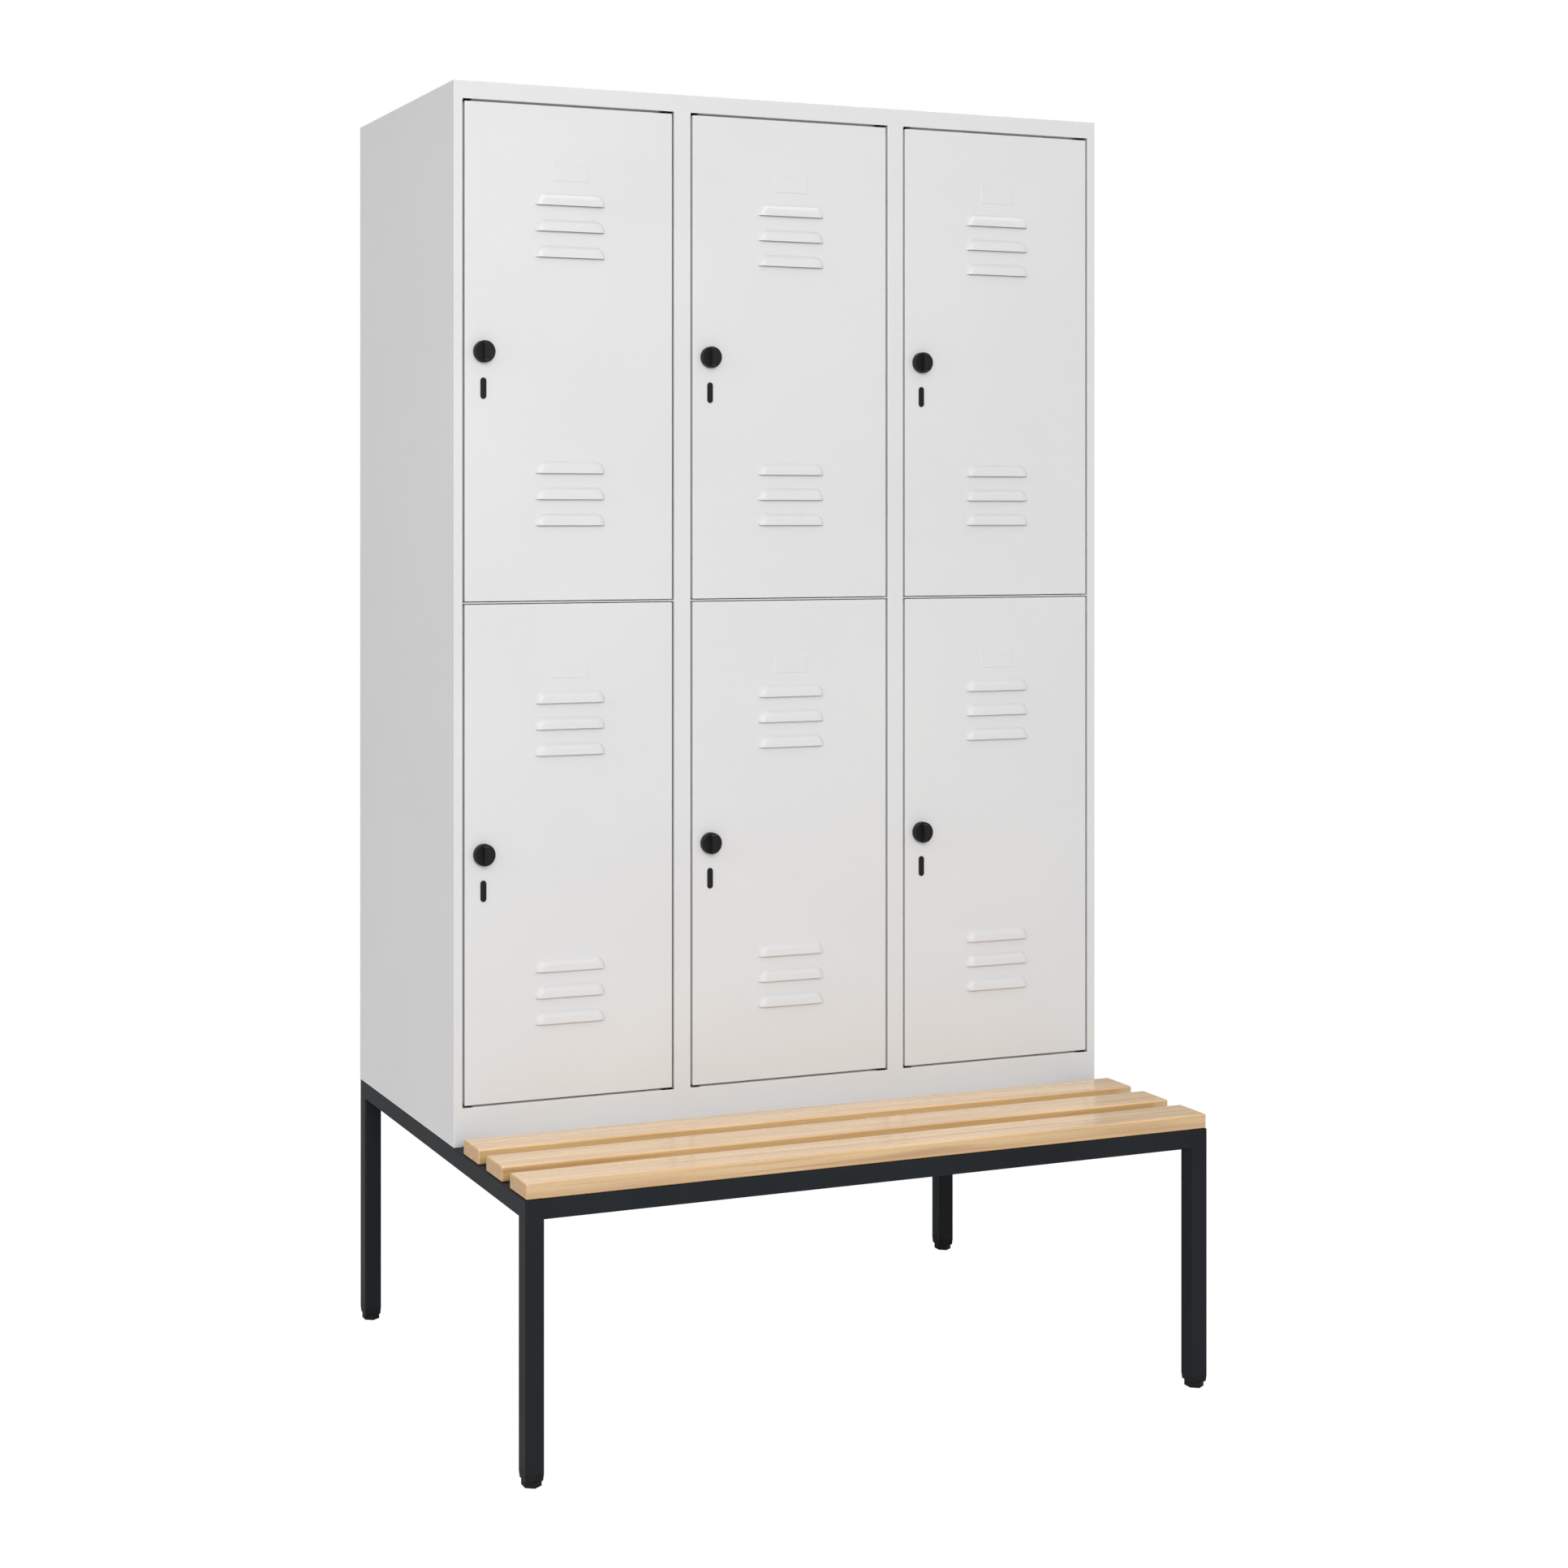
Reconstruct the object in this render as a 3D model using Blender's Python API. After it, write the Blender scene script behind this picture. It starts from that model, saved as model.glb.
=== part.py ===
"""Double-tier steel locker for coats, standing on a tube frame with a slatted bench.

The origin is on the floor under the middle of the whole piece: +X runs to the
right, +Y to the back and +Z up, all in metres. Cabinet parts are worked out in
the cabinet's own frame, which starts at its front left bottom corner.
"""
import math

import bmesh
import bpy
from mathutils import Matrix, Vector

# Columns and doors of the cabinet
COLUMNS = 3
OPENING_WIDTH = 0.370
STILE_WIDTH = 0.015
CABINET_DEPTH = 0.500
BOTTOM_RAIL = 0.0616
TOP_RAIL = 0.0290
DOOR_HEIGHT = 0.799
DOOR_DEPTH = 0.014
DOOR_LIP = 0.010
SIDE_GAP = 0.00365
BOTTOM_GAP = 0.0030
MIDDLE_GAP = 0.0048
TOP_GAP = 0.0036
SHEET = 0.001
FIT = 0.0003
CUT_PAST = 0.001

# Stops and flanges inside the door openings
LOCK_FLANGE = 0.018
STOP_LIP = 0.012
SHELF_NOSE = 0.002
SHELF_FLANGE = 0.015
BACK_FLANGE = 0.014
RAIL_FOOT = 0.030
FLOOR_FLANGE = 0.025

# Door pivots
PIN_RADIUS = 0.003
SWING_CLEARANCE = 0.001
HINGE_MARGIN = 0.0025
EAR_SETBACK = 0.0035

# Louvres pressed into the doors
LOUVRE_WIDTH = 0.122
LOUVRE_HEIGHT = 0.019
LOUVRE_REACH = 0.007
LOUVRE_SHOULDER = 0.006
LOUVRE_END = 0.016
LOUVRE_PITCH = 0.0421
LOUVRES_PER_GROUP = 3
LOUVRE_SILL = 0.0003
UPPER_GROUP_DROP = 0.1603
LOWER_GROUP_HEIGHT = 0.1217

# Label holder pressed into the doors
LABEL_WIDTH = 0.0635
LABEL_HEIGHT = 0.0295
LABEL_DROP = 0.0915
LABEL_RELIEF = 0.0008
LABEL_EAR = 0.009
LABEL_DIP = 0.004

# Turning knob with its grip ridge, its cam and the slot plug below it
KNOB_INSET = 0.035
KNOB_RADIUS = 0.01765
KNOB_DRUM = 0.0105
KNOB_REACH = 0.020
KNOB_ROUNDING = 0.0015
RIDGE_WIDTH = 0.0092
RIDGE_RADIUS = 0.0162
SPINDLE_RADIUS = 0.005
CAM_THICKNESS = 0.002
CAM_WIDTH = 0.020
CAM_OVERLAP = 0.011
NUT_RADIUS = 0.009
NUT_HEIGHT = 0.0045
PLUG_WIDTH = 0.0101
PLUG_HEIGHT = 0.0343
PLUG_PROUD = 0.0015
PLUG_RIM = 0.0012
PLUG_DROP = 0.0586
PLUG_DEPTH = 0.004

# Coat rail inside each compartment
COAT_RAIL_RADIUS = 0.008
COAT_RAIL_WALL = 0.0012
COAT_RAIL_DROP = 0.060
COAT_RAIL_FLANGE = 0.014
COAT_RAIL_FLANGE_THICKNESS = 0.002

# Tube frame, feet and bench
BENCH_REACH = 0.315
TUBE = 0.030
TUBE_WALL = 0.002
TUBE_CORNER = 0.0025
LEG_LENGTH = 0.404
CAP_HEIGHT = 0.0105
CAP_TAPER = 0.001
CAP_SPIGOT = 0.014
FOOT_RADIUS = 0.0156
FOOT_HEIGHT = 0.0095
FOOT_CHAMFER = 0.0012
STEM_RADIUS = 0.004
STEM_LENGTH = 0.035
SLAT_COUNT = 3
SLAT_WIDTH = 0.068
SLAT_THICKNESS = 0.024
SLAT_GAP = 0.034
SLAT_INSET = 0.001
SLAT_ROUNDING = 0.003

# Places that follow from the sizes above
PITCH = OPENING_WIDTH + 2 * STILE_WIDTH
WIDTH = COLUMNS * PITCH
OPENING_HEIGHT = BOTTOM_GAP + 2 * DOOR_HEIGHT + MIDDLE_GAP + TOP_GAP
OPENING_TOP = BOTTOM_RAIL + OPENING_HEIGHT
CABINET_HEIGHT = OPENING_TOP + TOP_RAIL
FRAME_TOP = FOOT_HEIGHT + CAP_HEIGHT + LEG_LENGTH
FRONT_Y = (BENCH_REACH - CABINET_DEPTH) / 2
CABINET_BOTTOM = FRAME_TOP + FIT
BACK_SHEET_Y = CABINET_DEPTH - SHEET
WALL_END_Y = BACK_SHEET_Y - FIT
DOOR_WIDTH = OPENING_WIDTH - 2 * SIDE_GAP
LOWER_DOOR_Z = BOTTOM_RAIL + BOTTOM_GAP
UPPER_DOOR_Z = LOWER_DOOR_Z + DOOR_HEIGHT + MIDDLE_GAP
NOSE_Z = UPPER_DOOR_Z - (MIDDLE_GAP + SHELF_NOSE) / 2
SHELF_TOP = NOSE_Z + SHELF_NOSE
STOP_Y = DOOR_DEPTH + FIT
STOP_BACK_Y = STOP_Y + SHEET
PIVOT_Y = DOOR_DEPTH / 2
CORNER_ROOM = SIDE_GAP - SWING_CLEARANCE
PIVOT_INSET = (PIVOT_Y ** 2 - CORNER_ROOM ** 2) / (2 * CORNER_ROOM)
PIVOT_X = OPENING_WIDTH - SIDE_GAP - PIVOT_INSET
HINGE_FLANGE = SIDE_GAP + 2 * PIVOT_INSET + HINGE_MARGIN
HINGE_STOP_Y = PIVOT_Y + PIVOT_INSET + SIDE_GAP
HINGE_STOP_BACK_Y = HINGE_STOP_Y + SHEET
TOP_EAR_Z = OPENING_TOP + EAR_SETBACK
BOTTOM_EAR_Z = BOTTOM_RAIL - EAR_SETBACK - SHEET
CAM_Y = STOP_BACK_Y + FIT
SPINDLE_END_Y = CAM_Y + CAM_THICKNESS + NUT_HEIGHT / 2
CAM_REACH = KNOB_INSET - LOCK_FLANGE + CAM_OVERLAP
LABEL_BOTTOM = DOOR_HEIGHT - LABEL_DROP - LABEL_HEIGHT
UPPER_GROUP_HEIGHT = DOOR_HEIGHT - UPPER_GROUP_DROP - (LOUVRES_PER_GROUP - 1) * LOUVRE_PITCH

# Roundness of turned and rounded pieces
TURNED_STEPS = 18
PIN_STEPS = 12
CORNER_STEPS = 2
OBLONG_STEPS = 5
SHOULDER_STEPS = 2
LOUVRE_ANGLES = (0, 45, 80)
NUT_SIDES = 6
FOOT_SIDES = 6
EVEN_PROFILE = 0.5
SMOOTH_ANGLE = math.radians(35)


def place(value):
    """A coordinate to the nearest micrometre, so that faces meant to meet do."""
    return round(value, 6)


def paint(name, color, roughness, metallic=0.0):
    """A surface finish, from a linear colour."""
    material = bpy.data.materials.new(name)
    material.use_nodes = True
    shader = material.node_tree.nodes["Principled BSDF"]
    shader.inputs["Base Color"].default_value = (*color, 1.0)
    shader.inputs["Roughness"].default_value = roughness
    shader.inputs["Metallic"].default_value = metallic
    return material


def add_object(name, bm):
    """Put a finished bmesh into the scene as an object."""
    bmesh.ops.recalc_face_normals(bm, faces=bm.faces)
    mesh = bpy.data.meshes.new(name)
    bm.to_mesh(mesh)
    bm.free()
    piece = bpy.data.objects.new(name, mesh)
    bpy.context.collection.objects.link(piece)
    return piece


def block(low, high):
    """A box between two opposite corners."""
    bm = bmesh.new()
    bmesh.ops.create_cube(bm, size=1.0)
    for vert in bm.verts:
        corner = [high[i] if vert.co[i] > 0 else low[i] for i in range(3)]
        vert.co = Vector(place(value) for value in corner)
    return add_object("block", bm)


def prism(outline, start, end, axis="Z"):
    """An outline pushed along an axis; its points hold the other two coordinates in order."""
    bm = bmesh.new()
    index = "XYZ".index(axis)
    verts = []
    for point in outline:
        corner = (*point[:index], start, *point[index:])
        verts.append(bm.verts.new([place(value) for value in corner]))
    face = bm.faces.new(verts)
    grown = bmesh.ops.extrude_face_region(bm, geom=[face])
    for element in grown["geom"]:
        if isinstance(element, bmesh.types.BMVert):
            element.co[index] = place(end)
    return add_object("prism", bm)


def turned(profile, steps):
    """A profile of (radius, height) points turned round Z, with flat ends."""
    bm = bmesh.new()
    verts = [bm.verts.new((radius, 0, height)) for radius, height in profile]
    edges = [bm.edges.new(pair) for pair in zip(verts, verts[1:])]
    bmesh.ops.spin(
        bm, geom=verts + edges, cent=(0, 0, 0), axis=(0, 0, 1),
        angle=math.tau, steps=steps, use_merge=True, use_duplicate=False)
    rims = [edge for edge in bm.edges if edge.is_boundary]
    bmesh.ops.holes_fill(bm, edges=rims, sides=0)
    return add_object("turned", bm)


def rod(radius, start, end, steps, centre=(0, 0)):
    """A round rod standing along Z."""
    piece = turned([(radius, start), (radius, end)], steps)
    piece.data.transform(Matrix.Translation((*centre, 0)))
    return piece


def apply_modifiers(piece):
    """Replace an object's mesh with what its modifiers make of it."""
    depsgraph = bpy.context.evaluated_depsgraph_get()
    evaluated = bpy.data.meshes.new_from_object(piece.evaluated_get(depsgraph))
    raw = piece.data
    piece.modifiers.clear()
    piece.data = evaluated
    bpy.data.meshes.remove(raw)


def combine(piece, others, operation):
    """Join other solids to a piece, or cut them from it, and use them up."""
    for other in others:
        modifier = piece.modifiers.new("Boolean", "BOOLEAN")
        modifier.operation = operation
        modifier.object = other
    apply_modifiers(piece)
    for other in others:
        bpy.data.meshes.remove(other.data)
    return piece


def fuse(piece, *others):
    """One solid from several that overlap."""
    return combine(piece, others, "UNION")


def cut(piece, *others):
    """A piece with the other solids taken out of it."""
    return combine(piece, others, "DIFFERENCE")


def round_off(piece, test, reach, segments):
    """Bevel the edges of a piece whose two ends both pass a test."""
    bm = bmesh.new()
    bm.from_mesh(piece.data)
    edges = [edge for edge in bm.edges if all(test(vert.co) for vert in edge.verts)]
    bmesh.ops.bevel(
        bm, geom=edges, offset=reach, segments=segments, profile=EVEN_PROFILE, affect="EDGES")
    bm.to_mesh(piece.data)
    bm.free()
    return piece


def finish(piece, name, material, location=(0, 0, 0), parent=None, smooth=False):
    """Name, finish and place a piece, shaded smooth where it is turned."""
    piece.name = name
    piece.data.name = name
    piece.data.materials.clear()
    piece.data.materials.append(material)
    if smooth:
        piece.data.shade_smooth()
        piece.data.set_sharp_from_angle(angle=SMOOTH_ANGLE)
    piece.location = location
    piece.parent = parent
    return piece


def repeat(piece, name, location, parent=None):
    """Another copy of a piece, with the same mesh."""
    copy = bpy.data.objects.new(name, piece.data)
    bpy.context.collection.objects.link(copy)
    copy.location = location
    copy.parent = parent
    return copy


def add_empty(name, location):
    """A frame that other pieces are placed in."""
    empty = bpy.data.objects.new(name, None)
    empty.location = location
    bpy.context.collection.objects.link(empty)
    return empty


def opening_left(column):
    """Where a column's door opening starts, from the cabinet's left edge."""
    return column * PITCH + STILE_WIDTH


def arc(centre, radius, start, end, steps):
    """Points along a round stretch, angles in degrees."""
    points = []
    for step in range(steps + 1):
        angle = math.radians(start + (end - start) * step / steps)
        points.append((centre[0] + radius * math.cos(angle), centre[1] + radius * math.sin(angle)))
    return points


def rounded_square(width, corner):
    """The outline of a square with round corners, about its middle."""
    middle = width / 2 - corner
    outline = []
    for turn, (side, end) in enumerate([(1, 1), (-1, 1), (-1, -1), (1, -1)]):
        start = turn * 90
        outline += arc((side * middle, end * middle), corner, start, start + 90, CORNER_STEPS)
    return outline


def oblong(width, height):
    """The outline of an upright slot with full round ends."""
    rise = (height - width) / 2
    upper = arc((0, rise), width / 2, 0, 180, OBLONG_STEPS)
    lower = arc((0, -rise), width / 2, 180, 360, OBLONG_STEPS)
    return upper + lower


def make_left_side():
    """The left wall: front stile, the doors' stop flange and a flange at the back."""
    wall = prism(
        [
            (0, 0), (STILE_WIDTH, 0), (STILE_WIDTH, SHEET), (SHEET, SHEET),
            (SHEET, WALL_END_Y), (0, WALL_END_Y)],
        0, CABINET_HEIGHT)
    flange = block((SHEET / 2, WALL_END_Y - SHEET, 0),
                   (SHEET + BACK_FLANGE, WALL_END_Y, CABINET_HEIGHT - SHEET - FIT))
    return fuse(wall, flange, make_lock_flange(STILE_WIDTH))


def make_right_side():
    """The right wall, with the flange that carries the hinge pins."""
    inner = WIDTH - SHEET
    wall = prism(
        [
            (WIDTH, 0), (WIDTH - STILE_WIDTH, 0), (WIDTH - STILE_WIDTH, SHEET), (inner, SHEET),
            (inner, WALL_END_Y), (WIDTH, WALL_END_Y)],
        0, CABINET_HEIGHT)
    flange = block((inner - BACK_FLANGE, WALL_END_Y - SHEET, 0),
                   (inner + SHEET / 2, WALL_END_Y, CABINET_HEIGHT - SHEET - FIT))
    return fuse(wall, flange, *make_hinge_flange(COLUMNS - 1))


def make_lock_flange(edge):
    """The return and stop flange on the lock side of the opening that starts at edge."""
    flange = prism(
        [
            (edge - SHEET, SHEET / 2), (edge, SHEET / 2), (edge, STOP_Y),
            (edge + LOCK_FLANGE, STOP_Y), (edge + LOCK_FLANGE, STOP_BACK_Y),
            (edge - SHEET, STOP_BACK_Y)],
        BOTTOM_RAIL + BOTTOM_GAP, OPENING_TOP - TOP_GAP)
    notch = block(
        (edge, STOP_Y - FIT, NOSE_Z - FIT),
        (edge + LOCK_FLANGE + FIT, STOP_BACK_Y + FIT, SHELF_TOP + FIT))
    return cut(flange, notch)


def make_hinge_flange(column):
    """The return, flange and pin ears on the hinge side of a column's opening."""
    edge = opening_left(column) + OPENING_WIDTH
    inner = edge - HINGE_FLANGE
    flange = prism(
        [
            (edge, SHEET / 2), (edge + SHEET, SHEET / 2), (edge + SHEET, HINGE_STOP_BACK_Y),
            (inner, HINGE_STOP_BACK_Y), (inner, HINGE_STOP_Y), (edge, HINGE_STOP_Y)],
        BOTTOM_RAIL + FIT, OPENING_TOP - FIT)
    notch = block(
        (inner - FIT, HINGE_STOP_Y - FIT, NOSE_Z - FIT),
        (edge, HINGE_STOP_BACK_Y + FIT, SHELF_TOP + FIT))
    flange = cut(flange, notch)
    pivot = (opening_left(column) + PIVOT_X, PIVOT_Y)
    web_y = SHEET + FIT
    ears = []
    for ear_z, low, high in (
            (BOTTOM_EAR_Z, BOTTOM_EAR_Z, BOTTOM_RAIL + 2 * FIT),
            (TOP_EAR_Z, OPENING_TOP - 2 * FIT, TOP_EAR_Z + SHEET)):
        web = block((edge, web_y, low), (edge + SHEET, HINGE_STOP_BACK_Y, high))
        ear = block((inner, web_y, ear_z), (edge + SHEET, HINGE_STOP_BACK_Y, ear_z + SHEET))
        hole = rod(PIN_RADIUS + FIT, ear_z - CUT_PAST, ear_z + SHEET + CUT_PAST, PIN_STEPS, pivot)
        ears.append(web)
        ears.append(cut(ear, hole))
    return [flange, *ears]


def make_partition(column):
    """The wall between two columns, with the wide stile and both stop flanges."""
    middle = (column + 1) * PITCH
    low = BOTTOM_RAIL + FIT
    web = prism(
        [
            (middle - SHEET / 2, SHEET + FIT), (middle + SHEET / 2, SHEET + FIT),
            (middle + SHEET / 2, WALL_END_Y - SHEET), (middle + BACK_FLANGE, WALL_END_Y - SHEET),
            (middle + BACK_FLANGE, WALL_END_Y), (middle - SHEET / 2, WALL_END_Y)],
        low, CABINET_HEIGHT - SHEET - FIT)
    stile = block(
        (middle - STILE_WIDTH, 0, low), (middle + STILE_WIDTH, SHEET, OPENING_TOP - FIT))
    spine = block(
        (middle - SHEET, SHEET / 2, low), (middle + SHEET, 2 * SHEET, OPENING_TOP - FIT))
    lock_flange = make_lock_flange(middle + STILE_WIDTH)
    return fuse(web, stile, spine, lock_flange, *make_hinge_flange(column))


def stop_span(column):
    """The stretch of a column's opening that the top and bottom stops take up."""
    left = opening_left(column)
    return left + LOCK_FLANGE + FIT, left + OPENING_WIDTH - HINGE_FLANGE - FIT


def make_top_panel():
    """The roof, the top rail folded down from it and the stops above the doors."""
    room = SHEET + FIT
    rail_start = STILE_WIDTH + FIT
    fold_start = rail_start + FIT
    roof = prism(
        [
            (room, room), (fold_start, room), (fold_start, SHEET / 2),
            (WIDTH - fold_start, SHEET / 2), (WIDTH - fold_start, room), (WIDTH - room, room),
            (WIDTH - room, WALL_END_Y), (room, WALL_END_Y)],
        CABINET_HEIGHT - SHEET, CABINET_HEIGHT)
    rail = block((rail_start, 0, OPENING_TOP), (WIDTH - rail_start, SHEET, CABINET_HEIGHT))
    lip_z = OPENING_TOP - STOP_LIP
    stop_section = [
        (SHEET / 2, OPENING_TOP), (STOP_Y, OPENING_TOP), (STOP_Y, lip_z), (STOP_BACK_Y, lip_z),
        (STOP_BACK_Y, OPENING_TOP + SHEET), (SHEET / 2, OPENING_TOP + SHEET)]
    stops = [prism(stop_section, *stop_span(column), axis="X") for column in range(COLUMNS)]
    return fuse(roof, rail, *stops)


def floor_outline(back):
    """The cabinet's floor from above, cut away at the corners of the door openings."""
    room = SHEET + FIT
    outline = [(room, room)]
    for column in range(COLUMNS):
        start = opening_left(column)
        end = start + OPENING_WIDTH + room
        left, right = stop_span(column)
        next_y = room if column == COLUMNS - 1 else SHEET / 2
        outline += [
            (start, outline[-1][1]), (start, STOP_BACK_Y + FIT), (left, STOP_BACK_Y + FIT),
            (left, SHEET / 2), (right, SHEET / 2), (right, HINGE_STOP_BACK_Y + FIT),
            (end, HINGE_STOP_BACK_Y + FIT), (end, next_y)]
    return outline + [(WIDTH - room, room), (WIDTH - room, back), (room, back)]


def make_bottom_panel():
    """The floor, the bottom rail folded down from it and the stops below the doors."""
    back = WALL_END_Y - SHEET - FIT
    floor = prism(floor_outline(back - SHEET / 2), BOTTOM_RAIL - SHEET, BOTTOM_RAIL)
    rail_section = [
        (0, 0), (RAIL_FOOT, 0), (RAIL_FOOT, SHEET), (SHEET, SHEET),
        (SHEET, BOTTOM_RAIL), (0, BOTTOM_RAIL)]
    rail = prism(rail_section, STILE_WIDTH + FIT, WIDTH - STILE_WIDTH - FIT, axis="X")
    flange_start = SHEET + 2 * FIT
    back_flange = block(
        (flange_start, back - SHEET, BOTTOM_RAIL - FLOOR_FLANGE),
        (WIDTH - flange_start, back, BOTTOM_RAIL))
    lips = []
    for column in range(COLUMNS):
        left, right = stop_span(column)
        lips.append(block(
            (left + FIT, STOP_Y, BOTTOM_RAIL - SHEET / 2),
            (right - FIT, STOP_BACK_Y, BOTTOM_RAIL + STOP_LIP)))
    return fuse(floor, rail, back_flange, *lips)


def make_shelf(column):
    """The shelf between the two tiers, with its nose in the gap between the doors."""
    wall_left = SHEET if column == 0 else column * PITCH + SHEET / 2
    wall_right = WIDTH - SHEET if column == COLUMNS - 1 else (column + 1) * PITCH - SHEET / 2
    left = wall_left + FIT
    right = wall_right - FIT
    back = WALL_END_Y - SHEET - FIT
    start = opening_left(column)
    stop_left, stop_right = stop_span(column)
    plate_y = HINGE_STOP_BACK_Y + FIT
    nose = block(
        (start + FIT, SHEET / 2, NOSE_Z), (start + OPENING_WIDTH - FIT, plate_y + SHEET, SHELF_TOP))
    plate = block((left, plate_y, SHELF_TOP - SHEET), (right, back, SHELF_TOP))
    stop = block((stop_left, STOP_Y, NOSE_Z - STOP_LIP), (stop_right, STOP_BACK_Y, SHELF_TOP))
    flange_z = SHELF_TOP - SHELF_FLANGE
    rims = [
        block((left, plate_y, flange_z), (left + SHEET, back, SHELF_TOP)),
        block((right - SHEET, plate_y, flange_z), (right, back, SHELF_TOP)),
        block((left, back - SHEET, flange_z), (right, back, SHELF_TOP)),
    ]
    pivot = (start + PIVOT_X, PIVOT_Y)
    hole = rod(PIN_RADIUS + FIT, NOSE_Z - CUT_PAST, SHELF_TOP + CUT_PAST, PIN_STEPS, pivot)
    return cut(fuse(plate, nose, stop, *rims), hole)


def loft(sections):
    """A solid through matching closed sections, one after another."""
    bm = bmesh.new()
    rings = []
    for section in sections:
        rings.append([bm.verts.new([place(value) for value in point]) for point in section])
    for ring, following in zip(rings, rings[1:]):
        for index in range(len(ring)):
            after = (index + 1) % len(ring)
            bm.faces.new((ring[index], ring[after], following[after], following[index]))
    bm.faces.new(rings[0])
    bm.faces.new(rings[-1])
    return add_object("loft", bm)


def louvre_section(x, angle, low, sill, back, inset):
    """The outline of a louvre cut across at x, where its end has turned by an angle."""
    height = (LOUVRE_HEIGHT - inset) * math.cos(angle)
    from_end = (LOUVRE_END - inset) * (1 - math.sin(angle))
    shoulder = LOUVRE_SHOULDER - inset
    slope = min(from_end / shoulder, 1)
    reach = (LOUVRE_REACH - inset) * math.sqrt(1 - (1 - slope) ** 2)
    fall = min(shoulder, height)
    section = [(x, back, low), (x, back, sill + height)]
    for across, rise in arc((0, 0), 1, 90, 0, SHOULDER_STEPS):
        section.append((x, -reach * across, sill + height - fall * (1 - rise)))
    section.append((x, -reach, low))
    return section


def make_louvre(centre, low, sill, back, inset):
    """A louvre's hood as a solid, or with an inset the room behind the hood."""
    straight = LOUVRE_WIDTH / 2 - LOUVRE_END
    stations = []
    for degrees in LOUVRE_ANGLES:
        angle = math.radians(degrees)
        stations.append((straight + (LOUVRE_END - inset) * math.sin(angle), angle))
    mirrored = [(-across, angle) for across, angle in reversed(stations)]
    return loft([
        louvre_section(centre + across, angle, low, sill, back, inset)
        for across, angle in mirrored + stations])


def make_label_holder():
    """The pressed pocket for a name card, with a finger dip in its top edge."""
    left = DOOR_WIDTH / 2 - LABEL_WIDTH / 2
    right = left + LABEL_WIDTH
    top = LABEL_BOTTOM + LABEL_HEIGHT
    dip_start = LABEL_EAR + LABEL_DIP
    outline = [
        (left, LABEL_BOTTOM), (right, LABEL_BOTTOM), (right, top), (right - LABEL_EAR, top),
        (right - dip_start, top - LABEL_DIP), (left + dip_start, top - LABEL_DIP),
        (left + LABEL_EAR, top), (left, top)]
    return prism(outline, -LABEL_RELIEF, SHEET / 2, axis="Y")


def upright_to_front(piece):
    """Turn a piece made standing along Z so that its top faces the front."""
    piece.data.transform(Matrix.Rotation(math.pi / 2, 4, "X"))
    return piece


def make_door(top_pin, bottom_pin):
    """A door as a folded pan with louvres and hinge pins, about its pivot's lower end."""
    door = block((0, 0, 0), (DOOR_WIDTH, DOOR_DEPTH, DOOR_HEIGHT))
    pocket = block(
        (SHEET, SHEET, SHEET), (DOOR_WIDTH - SHEET, DOOR_DEPTH - SHEET, DOOR_HEIGHT - SHEET))
    window = block(
        (DOOR_LIP, DOOR_DEPTH - SHEET - CUT_PAST, DOOR_LIP),
        (DOOR_WIDTH - DOOR_LIP, DOOR_DEPTH + CUT_PAST, DOOR_HEIGHT - DOOR_LIP))
    hoods = []
    voids = []
    for group in (LOWER_GROUP_HEIGHT, UPPER_GROUP_HEIGHT):
        for row in range(LOUVRES_PER_GROUP):
            sill = group + row * LOUVRE_PITCH
            hoods.append(make_louvre(DOOR_WIDTH / 2, sill, sill, SHEET / 2, 0))
            voids.append(make_louvre(
                DOOR_WIDTH / 2, sill - LOUVRE_SILL, sill, SHEET + CUT_PAST, SHEET))
    knob_x = KNOB_INSET - SIDE_GAP
    knob_z = DOOR_HEIGHT / 2
    spindle_hole = upright_to_front(
        rod(SPINDLE_RADIUS + FIT, -SHEET - CUT_PAST, CUT_PAST, TURNED_STEPS))
    spindle_hole.data.transform(Matrix.Translation((knob_x, 0, knob_z)))
    plug_hole = prism(plug_stem_outline(FIT), -CUT_PAST, SHEET + CUT_PAST, axis="Y")
    plug_hole.data.transform(Matrix.Translation((knob_x, 0, knob_z - PLUG_DROP)))
    pivot = (DOOR_WIDTH - PIVOT_INSET, PIVOT_Y)
    pins = [
        rod(PIN_RADIUS, -bottom_pin, SHEET / 2, PIN_STEPS, pivot),
        rod(PIN_RADIUS, DOOR_HEIGHT - SHEET / 2, DOOR_HEIGHT + top_pin, PIN_STEPS, pivot)]
    door = cut(door, pocket, window)
    door = fuse(door, *hoods, make_label_holder(), *pins)
    door = cut(door, *voids, spindle_hole, plug_hole)
    door.data.transform(Matrix.Translation((-pivot[0], -pivot[1], 0)))
    return door


def make_knob():
    """The turning knob, a drum with a grip ridge, and its spindle, about its seat's middle."""
    rounding = arc(
        (KNOB_RADIUS - KNOB_ROUNDING, KNOB_DRUM - KNOB_ROUNDING), KNOB_ROUNDING,
        0, 90, CORNER_STEPS)
    profile = [
        (SPINDLE_RADIUS, -SPINDLE_END_Y), (SPINDLE_RADIUS, FIT), (KNOB_RADIUS, FIT), *rounding]
    knob = upright_to_front(turned(profile, TURNED_STEPS))
    half_turn = math.degrees(math.asin(RIDGE_WIDTH / 2 / RIDGE_RADIUS))
    outline = []
    for end in (90, 270):
        outline += arc((0, 0), RIDGE_RADIUS, end - half_turn, end + half_turn, CORNER_STEPS)
    ridge = prism(outline, -KNOB_REACH, -KNOB_DRUM / 2, axis="Y")
    in_front = -KNOB_REACH + FIT
    ridge = round_off(ridge, lambda spot: spot.y < in_front, KNOB_ROUNDING, CORNER_STEPS)
    return fuse(knob, ridge)


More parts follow.
